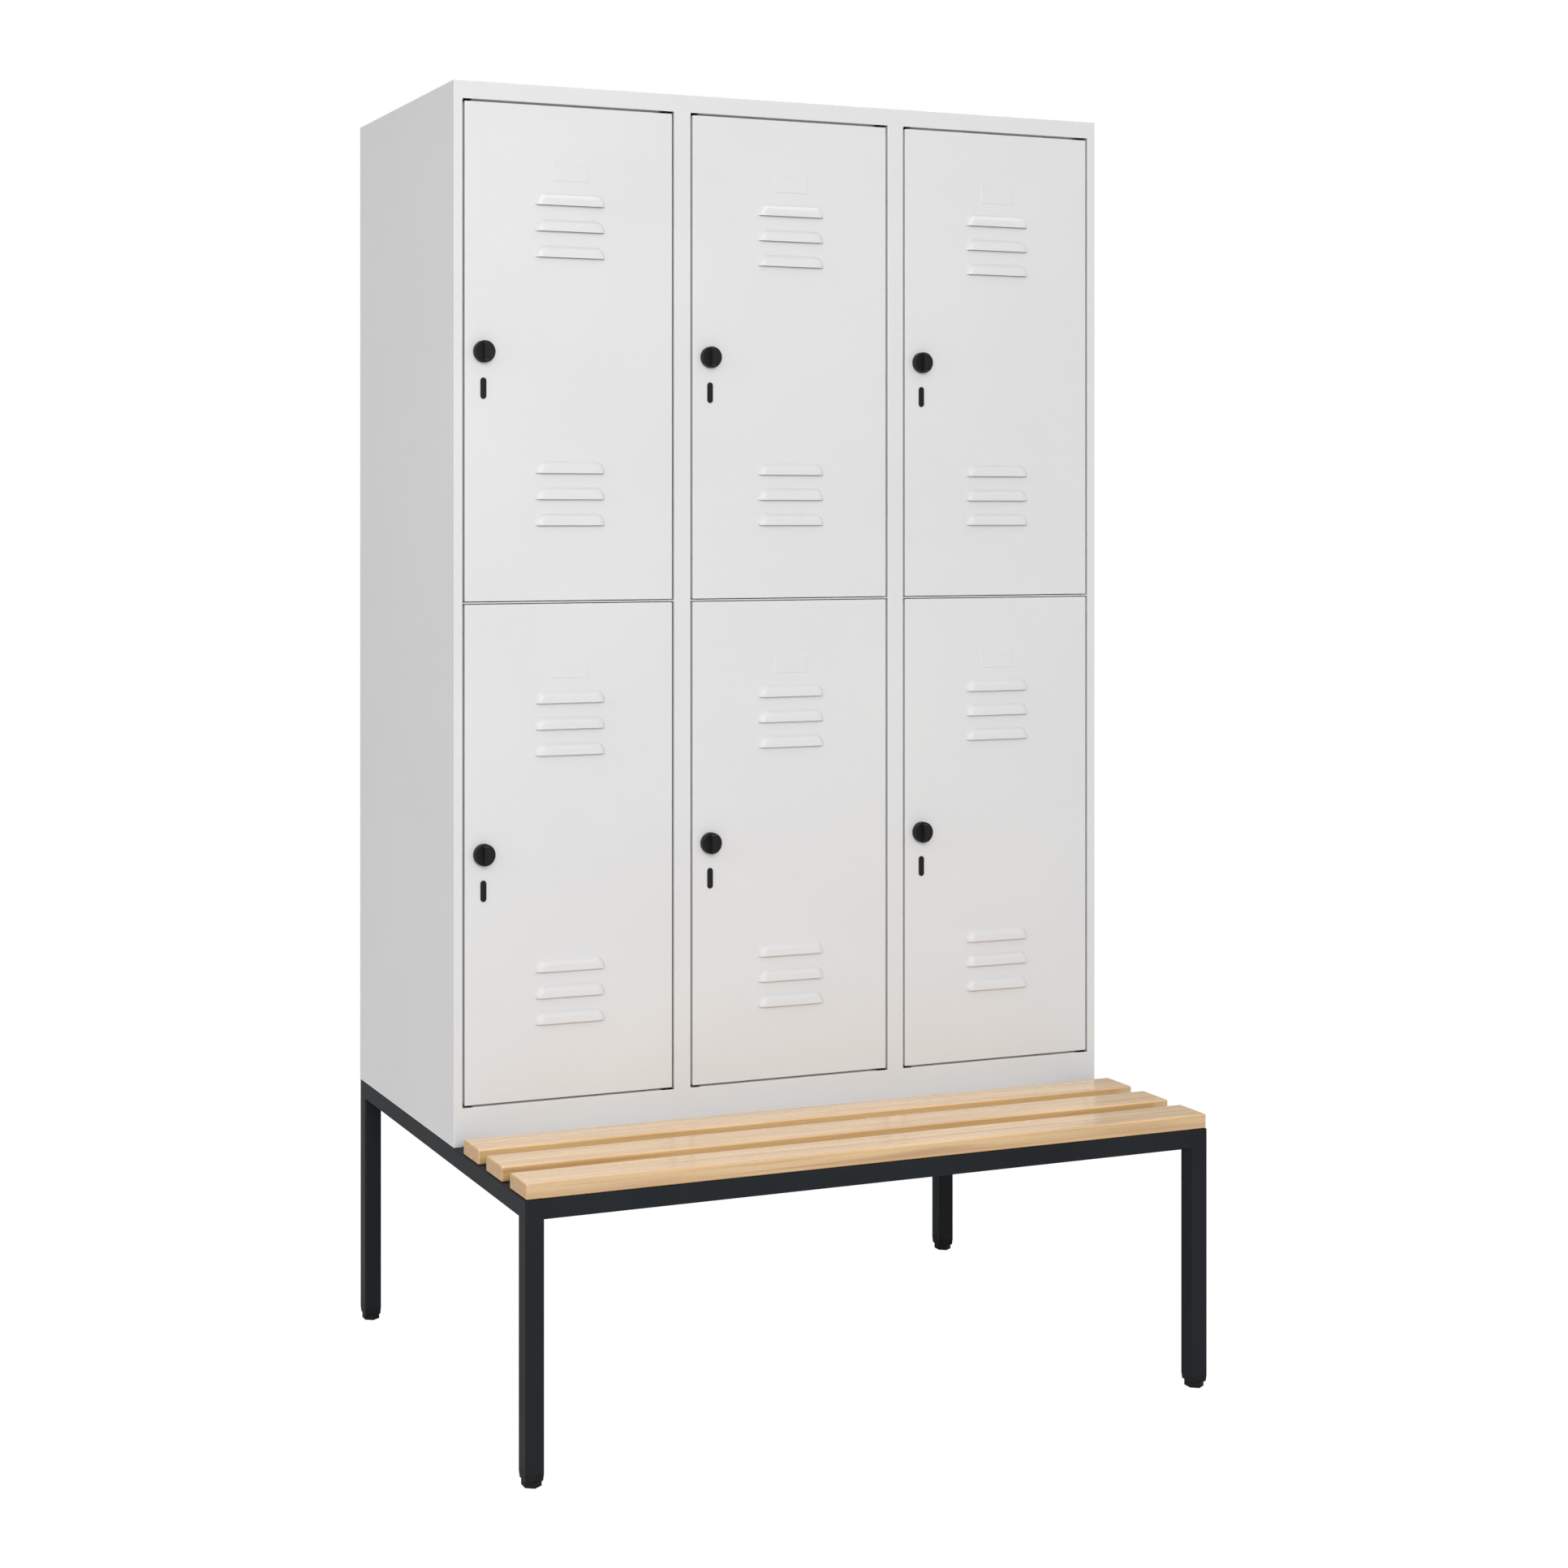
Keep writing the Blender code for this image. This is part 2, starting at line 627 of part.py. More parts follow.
def make_cam():
    """The locking cam with its nut, pointing up, about the same point as the knob."""
    half = CAM_WIDTH / 2
    outline = [(half, -half), (half, CAM_REACH), (-half, CAM_REACH), (-half, -half)]
    cam = prism(outline, CAM_Y, CAM_Y + CAM_THICKNESS, axis="Y")
    cam_back = CAM_Y + CAM_THICKNESS
    nut = upright_to_front(
        rod(NUT_RADIUS, -cam_back - NUT_HEIGHT, -cam_back + CAM_THICKNESS / 2, NUT_SIDES))
    bore = upright_to_front(
        rod(SPINDLE_RADIUS + FIT, -SPINDLE_END_Y - FIT, CUT_PAST - CAM_Y, TURNED_STEPS))
    return cut(fuse(cam, nut), bore)


def plug_stem_outline(growth):
    """The outline of the plug's stem, grown on each side."""
    narrowing = 2 * (growth - PLUG_RIM)
    return oblong(PLUG_WIDTH + narrowing, PLUG_HEIGHT + narrowing)


def make_plug():
    """The plug in the slot below the knob: a rim on the door and a stem through it."""
    rim = prism(oblong(PLUG_WIDTH, PLUG_HEIGHT), -PLUG_PROUD, -FIT, axis="Y")
    stem = prism(plug_stem_outline(0), -PLUG_PROUD / 2, PLUG_DEPTH, axis="Y")
    return fuse(rim, stem)


def make_coat_rail(length):
    """A hanging tube with a round flange at each end, along X from its left end."""
    bore = COAT_RAIL_RADIUS - COAT_RAIL_WALL
    flange = COAT_RAIL_FLANGE_THICKNESS
    profile = [
        (COAT_RAIL_FLANGE, 0), (COAT_RAIL_FLANGE, flange),
        (COAT_RAIL_RADIUS, flange), (COAT_RAIL_RADIUS, length - flange),
        (COAT_RAIL_FLANGE, length - flange), (COAT_RAIL_FLANGE, length)]
    hollow = rod(bore, -CUT_PAST, length + CUT_PAST, PIN_STEPS)
    rail = cut(turned(profile, PIN_STEPS), hollow)
    rail.data.transform(Matrix.Rotation(math.pi / 2, 4, "Y"))
    return rail


def make_tube(length):
    """A square tube with open ends, standing along Z from its lower end."""
    tube = prism(rounded_square(TUBE, TUBE_CORNER), 0, length)
    bore_outline = rounded_square(TUBE - 2 * TUBE_WALL, TUBE_CORNER - TUBE_WALL / 2)
    return cut(tube, prism(bore_outline, -CUT_PAST, length + CUT_PAST))


def make_leg_cap():
    """The plastic end of a leg, with a spigot in the tube and a hole for the foot's stem."""
    cap = prism(rounded_square(TUBE, TUBE_CORNER), 0, CAP_HEIGHT - FIT)
    narrow = (TUBE - 2 * CAP_TAPER) / TUBE
    for vert in cap.data.vertices:
        if vert.co.z < CAP_HEIGHT / 2:
            vert.co.x *= narrow
            vert.co.y *= narrow
    spigot_outline = rounded_square(TUBE - 2 * TUBE_WALL - 2 * FIT, TUBE_CORNER - TUBE_WALL / 2)
    spigot = prism(spigot_outline, CAP_HEIGHT / 2, CAP_HEIGHT + CAP_SPIGOT)
    hole = rod(STEM_RADIUS + FIT, -CUT_PAST, CAP_HEIGHT + CAP_SPIGOT + CUT_PAST, PIN_STEPS)
    return cut(fuse(cap, spigot), hole)


def make_foot():
    """The hexagonal glide that stands on the floor, with its threaded stem."""
    glide = rod(FOOT_RADIUS, 0, FOOT_HEIGHT - FIT, FOOT_SIDES)
    glide.data.transform(Matrix.Rotation(math.pi / 6, 4, "Z"))
    glide = round_off(glide, lambda spot: spot.z < FIT, FOOT_CHAMFER, 1)
    stem = rod(STEM_RADIUS, FOOT_HEIGHT / 2, FOOT_HEIGHT + STEM_LENGTH, PIN_STEPS)
    return fuse(glide, stem)


def make_slat():
    """One bench slat with rounded edges, from its front left lower corner."""
    slat = block((0, 0, 0), (WIDTH - 2 * SLAT_INSET, SLAT_WIDTH, SLAT_THICKNESS))
    return round_off(slat, lambda spot: True, SLAT_ROUNDING, CORNER_STEPS)


def build_cabinet(steel):
    """The fixed sheet metal of the cabinet, and the empty that it hangs on."""
    cabinet = add_empty("cabinet", (-WIDTH / 2, FRONT_Y, CABINET_BOTTOM))
    finish(make_left_side(), "side_panel_left", steel, parent=cabinet)
    finish(make_right_side(), "side_panel_right", steel, parent=cabinet)
    back = block((0, BACK_SHEET_Y, 0), (WIDTH, CABINET_DEPTH, CABINET_HEIGHT))
    finish(back, "back_panel", steel, parent=cabinet)
    finish(make_top_panel(), "top_panel", steel, parent=cabinet)
    finish(make_bottom_panel(), "bottom_panel", steel, parent=cabinet)
    for column in range(COLUMNS - 1):
        finish(make_partition(column), f"partition_{column + 1}", steel, parent=cabinet)
    for column in range(COLUMNS):
        finish(make_shelf(column), f"tier_shelf_{column + 1}", steel, parent=cabinet)
    return cabinet


def build_doors(cabinet, steel, plastic, zinc):
    """The six doors, each with its knob, cam and slot plug."""
    long_top = TOP_EAR_Z + SHEET + FIT - (UPPER_DOOR_Z + DOOR_HEIGHT)
    long_bottom = LOWER_DOOR_Z - BOTTOM_EAR_Z + FIT
    short = (MIDDLE_GAP - FIT) / 2
    tiers = {
        "lower": (LOWER_DOOR_Z, finish(make_door(short, long_bottom), "door_lower_1", steel)),
        "upper": (UPPER_DOOR_Z, finish(make_door(long_top, short), "door_upper_1", steel))}
    knob = finish(make_knob(), "lock_knob_lower_1", plastic, smooth=True)
    cam = finish(make_cam(), "lock_cam_lower_1", zinc)
    plug = finish(make_plug(), "slot_plug_lower_1", plastic, smooth=True)
    for tier, (height, door) in tiers.items():
        for column in range(COLUMNS):
            hinge = (opening_left(column) + PIVOT_X, PIVOT_Y, height)
            if column == 0:
                leaf = door
                leaf.location = hinge
                leaf.parent = cabinet
            else:
                leaf = repeat(door, f"door_{tier}_{column + 1}", hinge, cabinet)
            axis = (KNOB_INSET - PIVOT_X, -PIVOT_Y, DOOR_HEIGHT / 2)
            below = (axis[0], axis[1], axis[2] - PLUG_DROP)
            for part, kind, spot in (
                    (knob, "lock_knob", axis), (cam, "lock_cam", axis), (plug, "slot_plug", below)):
                name = f"{kind}_{tier}_{column + 1}"
                if part.name == name:
                    part.location = spot
                    part.parent = leaf
                else:
                    repeat(part, name, spot, leaf)


def build_coat_rails(cabinet, zinc):
    """One hanging rail under the ceiling of each compartment."""
    ceilings = {"lower": SHELF_TOP - SHEET, "upper": CABINET_HEIGHT - SHEET}
    for column in range(COLUMNS):
        left = SHEET if column == 0 else column * PITCH + SHEET / 2
        right = WIDTH - SHEET if column == COLUMNS - 1 else (column + 1) * PITCH - SHEET / 2
        rail = make_coat_rail(right - left - 2 * FIT)
        for tier, ceiling in ceilings.items():
            spot = (left + FIT, CABINET_DEPTH / 2, ceiling - COAT_RAIL_DROP)
            name = f"coat_rail_{tier}_{column + 1}"
            if tier == "lower":
                finish(rail, name, zinc, spot, cabinet, smooth=True)
            else:
                repeat(rail, name, spot, cabinet)


def build_frame(paint_dark, plastic):
    """The legs with their feet, and the rails and beams welded between them."""
    corner = TUBE / 2
    front = FRONT_Y - BENCH_REACH + corner
    middle = FRONT_Y + corner
    back = FRONT_Y + CABINET_DEPTH - corner
    side = WIDTH / 2 - corner
    leg = make_tube(LEG_LENGTH)
    cap = make_leg_cap()
    foot = make_foot()
    kinds = (
        (leg, "leg", FOOT_HEIGHT + CAP_HEIGHT, paint_dark),
        (cap, "leg_cap", FOOT_HEIGHT, plastic),
        (foot, "foot", 0, plastic))
    for row, y in (("front", front), ("back", back)):
        for hand, x in (("left", -side), ("right", side)):
            for piece, kind, z, material in kinds:
                name = f"{kind}_{row}_{hand}"
                if row == "front" and hand == "left":
                    finish(piece, name, material, (x, y, z))
                else:
                    repeat(piece, name, (x, y, z))
    rail_z = FRAME_TOP - corner
    side_length = back - front - TUBE - 2 * FIT
    side_rail = make_tube(side_length)
    side_rail.data.transform(Matrix.Rotation(-math.pi / 2, 4, "X"))
    rail_start = front + corner + FIT
    finish(side_rail, "side_rail_left", paint_dark, (-side, rail_start, rail_z))
    repeat(side_rail, "side_rail_right", (side, rail_start, rail_z))
    beam = make_tube(WIDTH - 2 * TUBE - 2 * FIT)
    beam.data.transform(Matrix.Rotation(math.pi / 2, 4, "Y"))
    beam_start = -side + corner + FIT
    finish(beam, "front_beam", paint_dark, (beam_start, front, rail_z))
    repeat(beam, "middle_beam", (beam_start, middle, rail_z))
    repeat(beam, "back_beam", (beam_start, back, rail_z))


def build_bench(wood):
    """The seat slats, from the front."""
    slat = make_slat()
    for number in range(SLAT_COUNT):
        front = FRONT_Y - BENCH_REACH + SLAT_INSET + number * (SLAT_WIDTH + SLAT_GAP)
        spot = (-WIDTH / 2 + SLAT_INSET, front, FRAME_TOP + FIT)
        name = f"bench_slat_{number + 1}"
        if number == 0:
            finish(slat, name, wood, spot)
        else:
            repeat(slat, name, spot)


def main():
    """Clear the scene and build the locker."""
    for old in list(bpy.data.objects):
        bpy.data.objects.remove(old)
    light_steel = paint("light_grey_powder_coat", (0.70, 0.70, 0.69), 0.45)
    dark_steel = paint("anthracite_powder_coat", (0.03, 0.032, 0.034), 0.5)
    beech = paint("lacquered_beech", (0.72, 0.50, 0.30), 0.5)
    plastic = paint("black_plastic", (0.02, 0.02, 0.02), 0.45)
    zinc = paint("zinc_plated_steel", (0.60, 0.61, 0.62), 0.35, metallic=1.0)
    cabinet = build_cabinet(light_steel)
    build_doors(cabinet, light_steel, plastic, zinc)
    build_coat_rails(cabinet, zinc)
    build_frame(dark_steel, plastic)
    build_bench(beech)


main()
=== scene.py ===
"""Looks of a double-tier steel locker that stands on a tube frame with a slatted bench.

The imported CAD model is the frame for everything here: +X runs to the right, +Y to the
back and +Z up, in metres, with the origin on the floor under the middle of the locker.
Each sub-assembly is a class that models its pieces in that frame, finishes them and
hands each one over to the body that it moves with.
"""

import logging
import math
from dataclasses import dataclass, field
from enum import Enum
from typing import Callable, Iterable, Sequence

import bmesh
import bpy
from mathutils import Matrix, Vector

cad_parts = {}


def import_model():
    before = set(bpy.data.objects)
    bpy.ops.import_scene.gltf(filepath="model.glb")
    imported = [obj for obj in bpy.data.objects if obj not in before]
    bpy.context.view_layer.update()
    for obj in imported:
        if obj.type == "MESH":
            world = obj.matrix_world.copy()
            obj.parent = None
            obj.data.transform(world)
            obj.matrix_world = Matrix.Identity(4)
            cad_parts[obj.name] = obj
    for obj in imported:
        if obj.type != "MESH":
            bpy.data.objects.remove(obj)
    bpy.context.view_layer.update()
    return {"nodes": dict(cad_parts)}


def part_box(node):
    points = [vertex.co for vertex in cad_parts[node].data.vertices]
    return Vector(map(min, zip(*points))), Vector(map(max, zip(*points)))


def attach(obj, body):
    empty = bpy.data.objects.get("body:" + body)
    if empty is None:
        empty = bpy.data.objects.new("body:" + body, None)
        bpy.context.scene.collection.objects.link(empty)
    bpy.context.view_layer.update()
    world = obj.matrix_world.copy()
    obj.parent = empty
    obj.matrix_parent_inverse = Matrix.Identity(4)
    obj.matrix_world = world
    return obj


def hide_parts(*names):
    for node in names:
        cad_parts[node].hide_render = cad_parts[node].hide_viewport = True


LOG = logging.getLogger("locker")
MM = 0.001
# Two places that are less than this far apart, in metres, count as one
TINY = 1e-5
# The axes, as the places of a vector's numbers
X, Y, Z = range(3)
WHITE = (1.0, 1.0, 1.0, 1.0)
# Nearly all values of a noise texture lie between these two
NOISE_LOW = 0.3
NOISE_HIGH = 0.7
FACING_FRONT = Matrix.Rotation(math.pi / 2, 4, "X")
FACING_BACK = Matrix.Rotation(-math.pi / 2, 4, "X")
LYING_ALONG_X = Matrix.Rotation(math.pi / 2, 4, "Y")
COLUMNS = 3
LEGS = [f"{end}_{side}" for end in ("front", "back") for side in ("left", "right")]

Point = tuple[float, float, float]
Socket = bpy.types.NodeSocket
Material = bpy.types.Material
Mesh = bmesh.types.BMesh
Vert = bmesh.types.BMVert
Edge = bmesh.types.BMEdge
Face = bmesh.types.BMFace


class Tier(Enum):
    """The two tiers of compartments."""

    LOWER = "lower"
    UPPER = "upper"


COMPARTMENTS = [(tier, number) for tier in Tier for number in range(1, COLUMNS + 1)]


class Slot(Enum):
    """The record's material slots."""

    CABINET_PAINT = "cabinet_paint"
    FRAME_PAINT = "frame_paint"
    BLACK_PLASTIC = "black_plastic"
    ZINC_STEEL = "zinc_steel"
    BEECH = "beech"


# How the names of the CAD nodes of each slot start; all the others have the cabinet's paint
NODE_STARTS = {
    Slot.BLACK_PLASTIC: ("leg_cap", "lock_knob", "slot_plug", "foot"),
    Slot.ZINC_STEEL: ("lock_cam", "coat_rail"),
    Slot.FRAME_PAINT: ("leg_", "side_rail", "front_beam", "middle_beam", "back_beam"),
    Slot.BEECH: ("bench_slat",)}


def linear(colour: str) -> tuple[float, float, float, float]:
    """Turn an sRGB hex colour into the linear colour that a shader takes.

    Args:
        colour: The colour as six hex digits after a hash.

    Returns:
        Red, green and blue from 0 to 1 in linear light, and an alpha of 1.
    """
    channels = []
    for start in (1, 3, 5):
        value = int(colour[start:start + 2], 16) / 255
        if value <= 0.04045:
            channels.append(value / 12.92)
        else:
            channels.append(((value + 0.055) / 1.055) ** 2.4)
    return channels[0], channels[1], channels[2], 1.0


def add_object(name: str, data: bpy.types.ID) -> bpy.types.Object:
    """Add an object to the scene.

    Args:
        name: Its name.
        data: Its mesh, light or camera.

    Returns:
        The object.
    """
    made = bpy.data.objects.new(name, data)
    bpy.context.scene.collection.objects.link(made)
    return made


def per_metre(size_mm: float) -> float:
    """The texture scale at which one feature of a pattern is that many millimetres long."""
    return 1.0 / (size_mm * MM)


def add_node(
    tree: bpy.types.NodeTree, kind: str, inputs: dict[str | int, object] | None = None,
    **settings: object,
) -> bpy.types.Node:
    """Add one node to a tree, with its settings, values and links.

    Args:
        tree: The tree that gets the node.
        kind: Blender's name for the kind of node.
        inputs: What each input socket gets: a value, or the socket that it is linked to.
        settings: The node's own properties.

    Returns:
        The new node.
    """
    node = tree.nodes.new(kind)
    for name, value in settings.items():
        setattr(node, name, value)
    for socket, value in (inputs or {}).items():
        if isinstance(value, Socket):
            tree.links.new(value, node.inputs[socket])
        else:
            node.inputs[socket].default_value = value
    return node


def empty_tree(owner: Material | bpy.types.World) -> bpy.types.NodeTree:
    """Give a new material or world its node tree, with nothing in it.

    Args:
        owner: The material or world.

    Returns:
        The tree.
    """
    owner.use_nodes = True
    owner.node_tree.nodes.clear()
    return owner.node_tree


def close_material(material: Material, inputs: dict[str, object]) -> Material:
    """Give a material its shader and output.

    Args:
        material: The material, with its pattern nodes in place.
        inputs: Values and links for the Principled shader.

    Returns:
        The finished material.
    """
    tree = material.node_tree
    shader = add_node(tree, "ShaderNodeBsdfPrincipled", inputs)
    add_node(tree, "ShaderNodeOutputMaterial", {"Surface": shader.outputs["BSDF"]})
    return material


@dataclass(frozen=True)
class PowderCoat:
    """Polyester powder, sprayed on degreased steel sheet and baked.

    It gives the eye an even satin colour. The film flows into a soft orange peel that
    breaks up long reflections, and its thickness drifts a little over a panel.
    """

    name: str
    colour: str
    drifted: str
    roughness: float
    # Real orange peel is 1 to 3 mm from crest to crest; 3 mm is the finest that shows
    peel_mm: float = 3.0
    peel_depth_mm: float = 0.02
    peel_strength: float = 0.4
    cloud_mm: float = 260.0
    speck_mm: float = 1.2
    speck: float = 0.02
    speck_span: tuple[float, float] = (0.35, 0.65)
    gloss_drift: float = 0.03
    # Half is the reflectance that goes with an IOR of 1.5; a chalky film gives back less
    reflectance: float = 0.5

    def build(self) -> Material:
        """Make the material.

        Returns:
            The powder coat, patterned on Object coordinates.
        """
        material = bpy.data.materials.new(self.name)
        tree = empty_tree(material)
        place = add_node(tree, "ShaderNodeTexCoord").outputs["Object"]
        cloud = add_node(tree, "ShaderNodeTexNoise", {
            "Vector": place, "Scale": per_metre(self.cloud_mm), "Detail": 2.0})
        drift = add_node(tree, "ShaderNodeMapRange", {
            "Value": cloud.outputs["Fac"], "From Min": NOISE_LOW, "From Max": NOISE_HIGH})
        body = add_node(tree, "ShaderNodeMix", {
            "Factor": drift.outputs["Result"], 6: linear(self.colour),
            7: linear(self.drifted)}, data_type="RGBA")
        specks = add_node(tree, "ShaderNodeTexNoise", {
            "Vector": place, "Scale": per_metre(self.speck_mm), "Detail": 1.0})
        strength = add_node(tree, "ShaderNodeMapRange", {
            "Value": specks.outputs["Fac"], "From Min": self.speck_span[0],
            "From Max": self.speck_span[1], "To Min": 1.0 - self.speck,
            "To Max": 1.0 + self.speck})
        shade = add_node(tree, "ShaderNodeVectorMath", {
            0: body.outputs[2], "Scale": strength.outputs["Result"]}, operation="SCALE")
        gloss = add_node(tree, "ShaderNodeMapRange", {
            "Value": cloud.outputs["Fac"], "From Min": NOISE_LOW, "From Max": NOISE_HIGH,
            "To Min": self.roughness - self.gloss_drift,
            "To Max": self.roughness + self.gloss_drift})
        peel = add_node(tree, "ShaderNodeTexNoise", {
            "Vector": place, "Scale": per_metre(self.peel_mm), "Detail": 1.0, "Roughness": 0.4})
        bump = add_node(tree, "ShaderNodeBump", {
            "Height": peel.outputs["Fac"], "Strength": self.peel_strength,
            "Distance": self.peel_depth_mm * MM})
        return close_material(material, {
            "Base Color": shade.outputs["Vector"], "Roughness": gloss.outputs["Result"],
            "Normal": bump.outputs["Normal"], "IOR": 1.5,
            "Specular IOR Level": self.reflectance})


@dataclass(frozen=True)
class Marks:
    """One layer of marks in wood: they fade in over a span of their noise, up to a share."""

    size_mm: tuple[float, float]
    span: tuple[float, float]
    share: float
    colour: str
    detail: float = 1.0


@dataclass(frozen=True)
class LacqueredBeech:
    """Steamed beech, planed along the grain and sealed with a glossy clear lacquer.

    It gives the eye a warm golden straw colour with long faint bands, darker heart streaks,
    fine pore lines along the board and, where the rays are cut, faint short flecks. The
    lacquer is thin on the sawn ends, which soak it up.
    """

    name: str = "lacquered_beech"
    light: str = "#D5B17C"
    bands: Marks = Marks((300.0, 15.0), (0.32, 0.68), 1.0, "#C49C67")
    hearts: Marks = Marks((480.0, 8.25), (0.6, 0.74), 0.75, "#AF7F50")
    pores: Marks = Marks((45.0, 1.3), (0.5, 0.75), 0.06, "#AF7F50")
    # Ray flecks are 2 to 4 mm long and 0.3 mm thick; they are drawn 1.2 mm thick to show
    flecks: Marks = Marks((5.0, 1.2), (0.68, 0.78), 0.08, "#A87F5C", 0.0)
    pore_depth_mm: float = 0.08
    pore_strength: float = 0.03
    end_grain: str = "#C1935A"
    end_share: float = 0.7
    # Distance of a slat's end from the middle, and how far the end grain shows round its edge
    end_mm: tuple[float, float] = (599.0, 1.6)
    end_lacquer: float = 0.15
    roughness: float = 0.27
    gloss_drift: float = 0.02

    def build(self) -> Material:
        """Make the material.

        Returns:
            The beech, with its grain along X.
        """
        material = bpy.data.materials.new(self.name)
        tree = empty_tree(material)
        place = add_node(tree, "ShaderNodeTexCoord").outputs["Object"]
        colour = linear(self.light)
        for marks in (self.bands, self.hearts, self.pores, self.flecks):
            along, across = (per_metre(size) for size in marks.size_mm)
            stretched = add_node(tree, "ShaderNodeMapping", {
                "Vector": place, "Scale": (along, across, across)})
            noise = add_node(tree, "ShaderNodeTexNoise", {
                "Vector": stretched.outputs["Vector"], "Scale": 1.0, "Detail": marks.detail})
            shown = add_node(tree, "ShaderNodeMapRange", {
                "Value": noise.outputs["Fac"], "From Min": marks.span[0],
                "From Max": marks.span[1], "To Max": marks.share})
            colour = add_node(tree, "ShaderNodeMix", {
                "Factor": shown.outputs["Result"], 6: colour, 7: linear(marks.colour)},
                data_type="RGBA").outputs[2]
            if marks is self.pores:
                pores = noise.outputs["Fac"]
        along_x = add_node(tree, "ShaderNodeSeparateXYZ", {"Vector": place}).outputs["X"]
        reach = add_node(tree, "ShaderNodeMath", {0: along_x}, operation="ABSOLUTE")
        end, edge = self.end_mm
        sawn = add_node(tree, "ShaderNodeMapRange", {
            "Value": reach.outputs["Value"], "From Min": (end - edge) * MM,
            "From Max": (end - edge / 2) * MM, "To Max": self.end_share})
        ended = add_node(tree, "ShaderNodeMix", {
            "Factor": sawn.outputs["Result"], 6: colour, 7: linear(self.end_grain)},
            data_type="RGBA")
        lacquer = add_node(tree, "ShaderNodeMapRange", {
            "Value": sawn.outputs["Result"], "From Max": self.end_share, "To Min": 1.0,
            "To Max": self.end_lacquer})
        gloss = add_node(tree, "ShaderNodeMapRange", {
            "Value": pores, "From Min": NOISE_LOW, "From Max": NOISE_HIGH,
            "To Min": self.roughness - self.gloss_drift,
            "To Max": self.roughness + self.gloss_drift})
        bump = add_node(tree, "ShaderNodeBump", {
            "Height": pores, "Strength": self.pore_strength,
            "Distance": self.pore_depth_mm * MM})
        return close_material(material, {
            "Base Color": ended.outputs[2], "Roughness": gloss.outputs["Result"],
            "Normal": bump.outputs["Normal"], "IOR": 1.8,
            "Coat Weight": lacquer.outputs["Result"], "Coat Roughness": 0.2,
            "Coat IOR": 1.8})


@dataclass(frozen=True)
class MouldedPlastic:
    """Black polyamide, injected into a spark-eroded mould.

    It gives the eye a near-black, half-matt skin with a fine even grain that keeps the
    highlights soft.
    """

    name: str = "moulded_black_polyamide"
    colour: str = "#191919"
    worn: str = "#1F1F1F"
    roughness: float = 0.46
    gloss_drift: float = 0.05
    # Half is the reflectance that goes with the IOR; the fine grain gives back less
    reflectance: float = 0.15
    flow_mm: float = 9.0
    # The mould's grain is about 0.1 mm; it is drawn at 0.6 mm to show
    grain_mm: float = 0.6
    grain_depth_mm: float = 0.02
    grain_strength: float = 0.3

    def build(self) -> Material:
        """Make the material.

        Returns:
            The plastic, patterned on Object coordinates.
        """
        material = bpy.data.materials.new(self.name)
        tree = empty_tree(material)
        place = add_node(tree, "ShaderNodeTexCoord").outputs["Object"]
        flow = add_node(tree, "ShaderNodeTexNoise", {
            "Vector": place, "Scale": per_metre(self.flow_mm), "Detail": 2.0})
        tone = add_node(tree, "ShaderNodeMix", {
            "Factor": flow.outputs["Fac"], 6: linear(self.colour), 7: linear(self.worn)},
            data_type="RGBA")
        grain = add_node(tree, "ShaderNodeTexNoise", {
            "Vector": place, "Scale": per_metre(self.grain_mm), "Detail": 1.0})
        gloss = add_node(tree, "ShaderNodeMapRange", {
            "Value": grain.outputs["Fac"], "From Min": NOISE_LOW, "From Max": NOISE_HIGH,
            "To Min": self.roughness - self.gloss_drift,
            "To Max": self.roughness + self.gloss_drift})
        bump = add_node(tree, "ShaderNodeBump", {
            "Height": grain.outputs["Fac"], "Strength": self.grain_strength,
            "Distance": self.grain_depth_mm * MM})
        return close_material(material, {
            "Base Color": tone.outputs[2], "Roughness": gloss.outputs["Result"],
            "Normal": bump.outputs["Normal"], "IOR": 1.53,
            "Specular IOR Level": self.reflectance})


@dataclass(frozen=True)
class ZincPlate:
    """Bright zinc, plated on turned or stamped steel and passivated.

    It gives the eye a cool grey metal with cloudy passivation and fine scratches from
    the tumbling barrel.
    """

    name: str = "passivated_zinc_plate"
    colour: str = "#C4C7CA"
    passivated: str = "#B4B3A8"
    cloud_mm: float = 14.0
    scratch_mm: float = 0.8
    roughness: tuple[float, float] = (0.25, 0.42)

    def build(self) -> Material:
        """Make the material.

        Returns:
            The plating, patterned on Object coordinates.
        """
        material = bpy.data.materials.new(self.name)
        tree = empty_tree(material)
        place = add_node(tree, "ShaderNodeTexCoord").outputs["Object"]
        cloud = add_node(tree, "ShaderNodeTexNoise", {
            "Vector": place, "Scale": per_metre(self.cloud_mm), "Detail": 3.0})
        tone = add_node(tree, "ShaderNodeMix", {
            "Factor": cloud.outputs["Fac"], 6: linear(self.colour),
            7: linear(self.passivated)}, data_type="RGBA")
        scratches = add_node(tree, "ShaderNodeTexNoise", {
            "Vector": place, "Scale": per_metre(self.scratch_mm), "Detail": 2.0})
        gloss = add_node(tree, "ShaderNodeMapRange", {
            "Value": scratches.outputs["Fac"], "From Min": NOISE_LOW,
            "From Max": NOISE_HIGH, "To Min": self.roughness[0], "To Max": self.roughness[1]})
        return close_material(material, {
            "Base Color": tone.outputs[2], "Metallic": 1.0,
            "Roughness": gloss.outputs["Result"]})


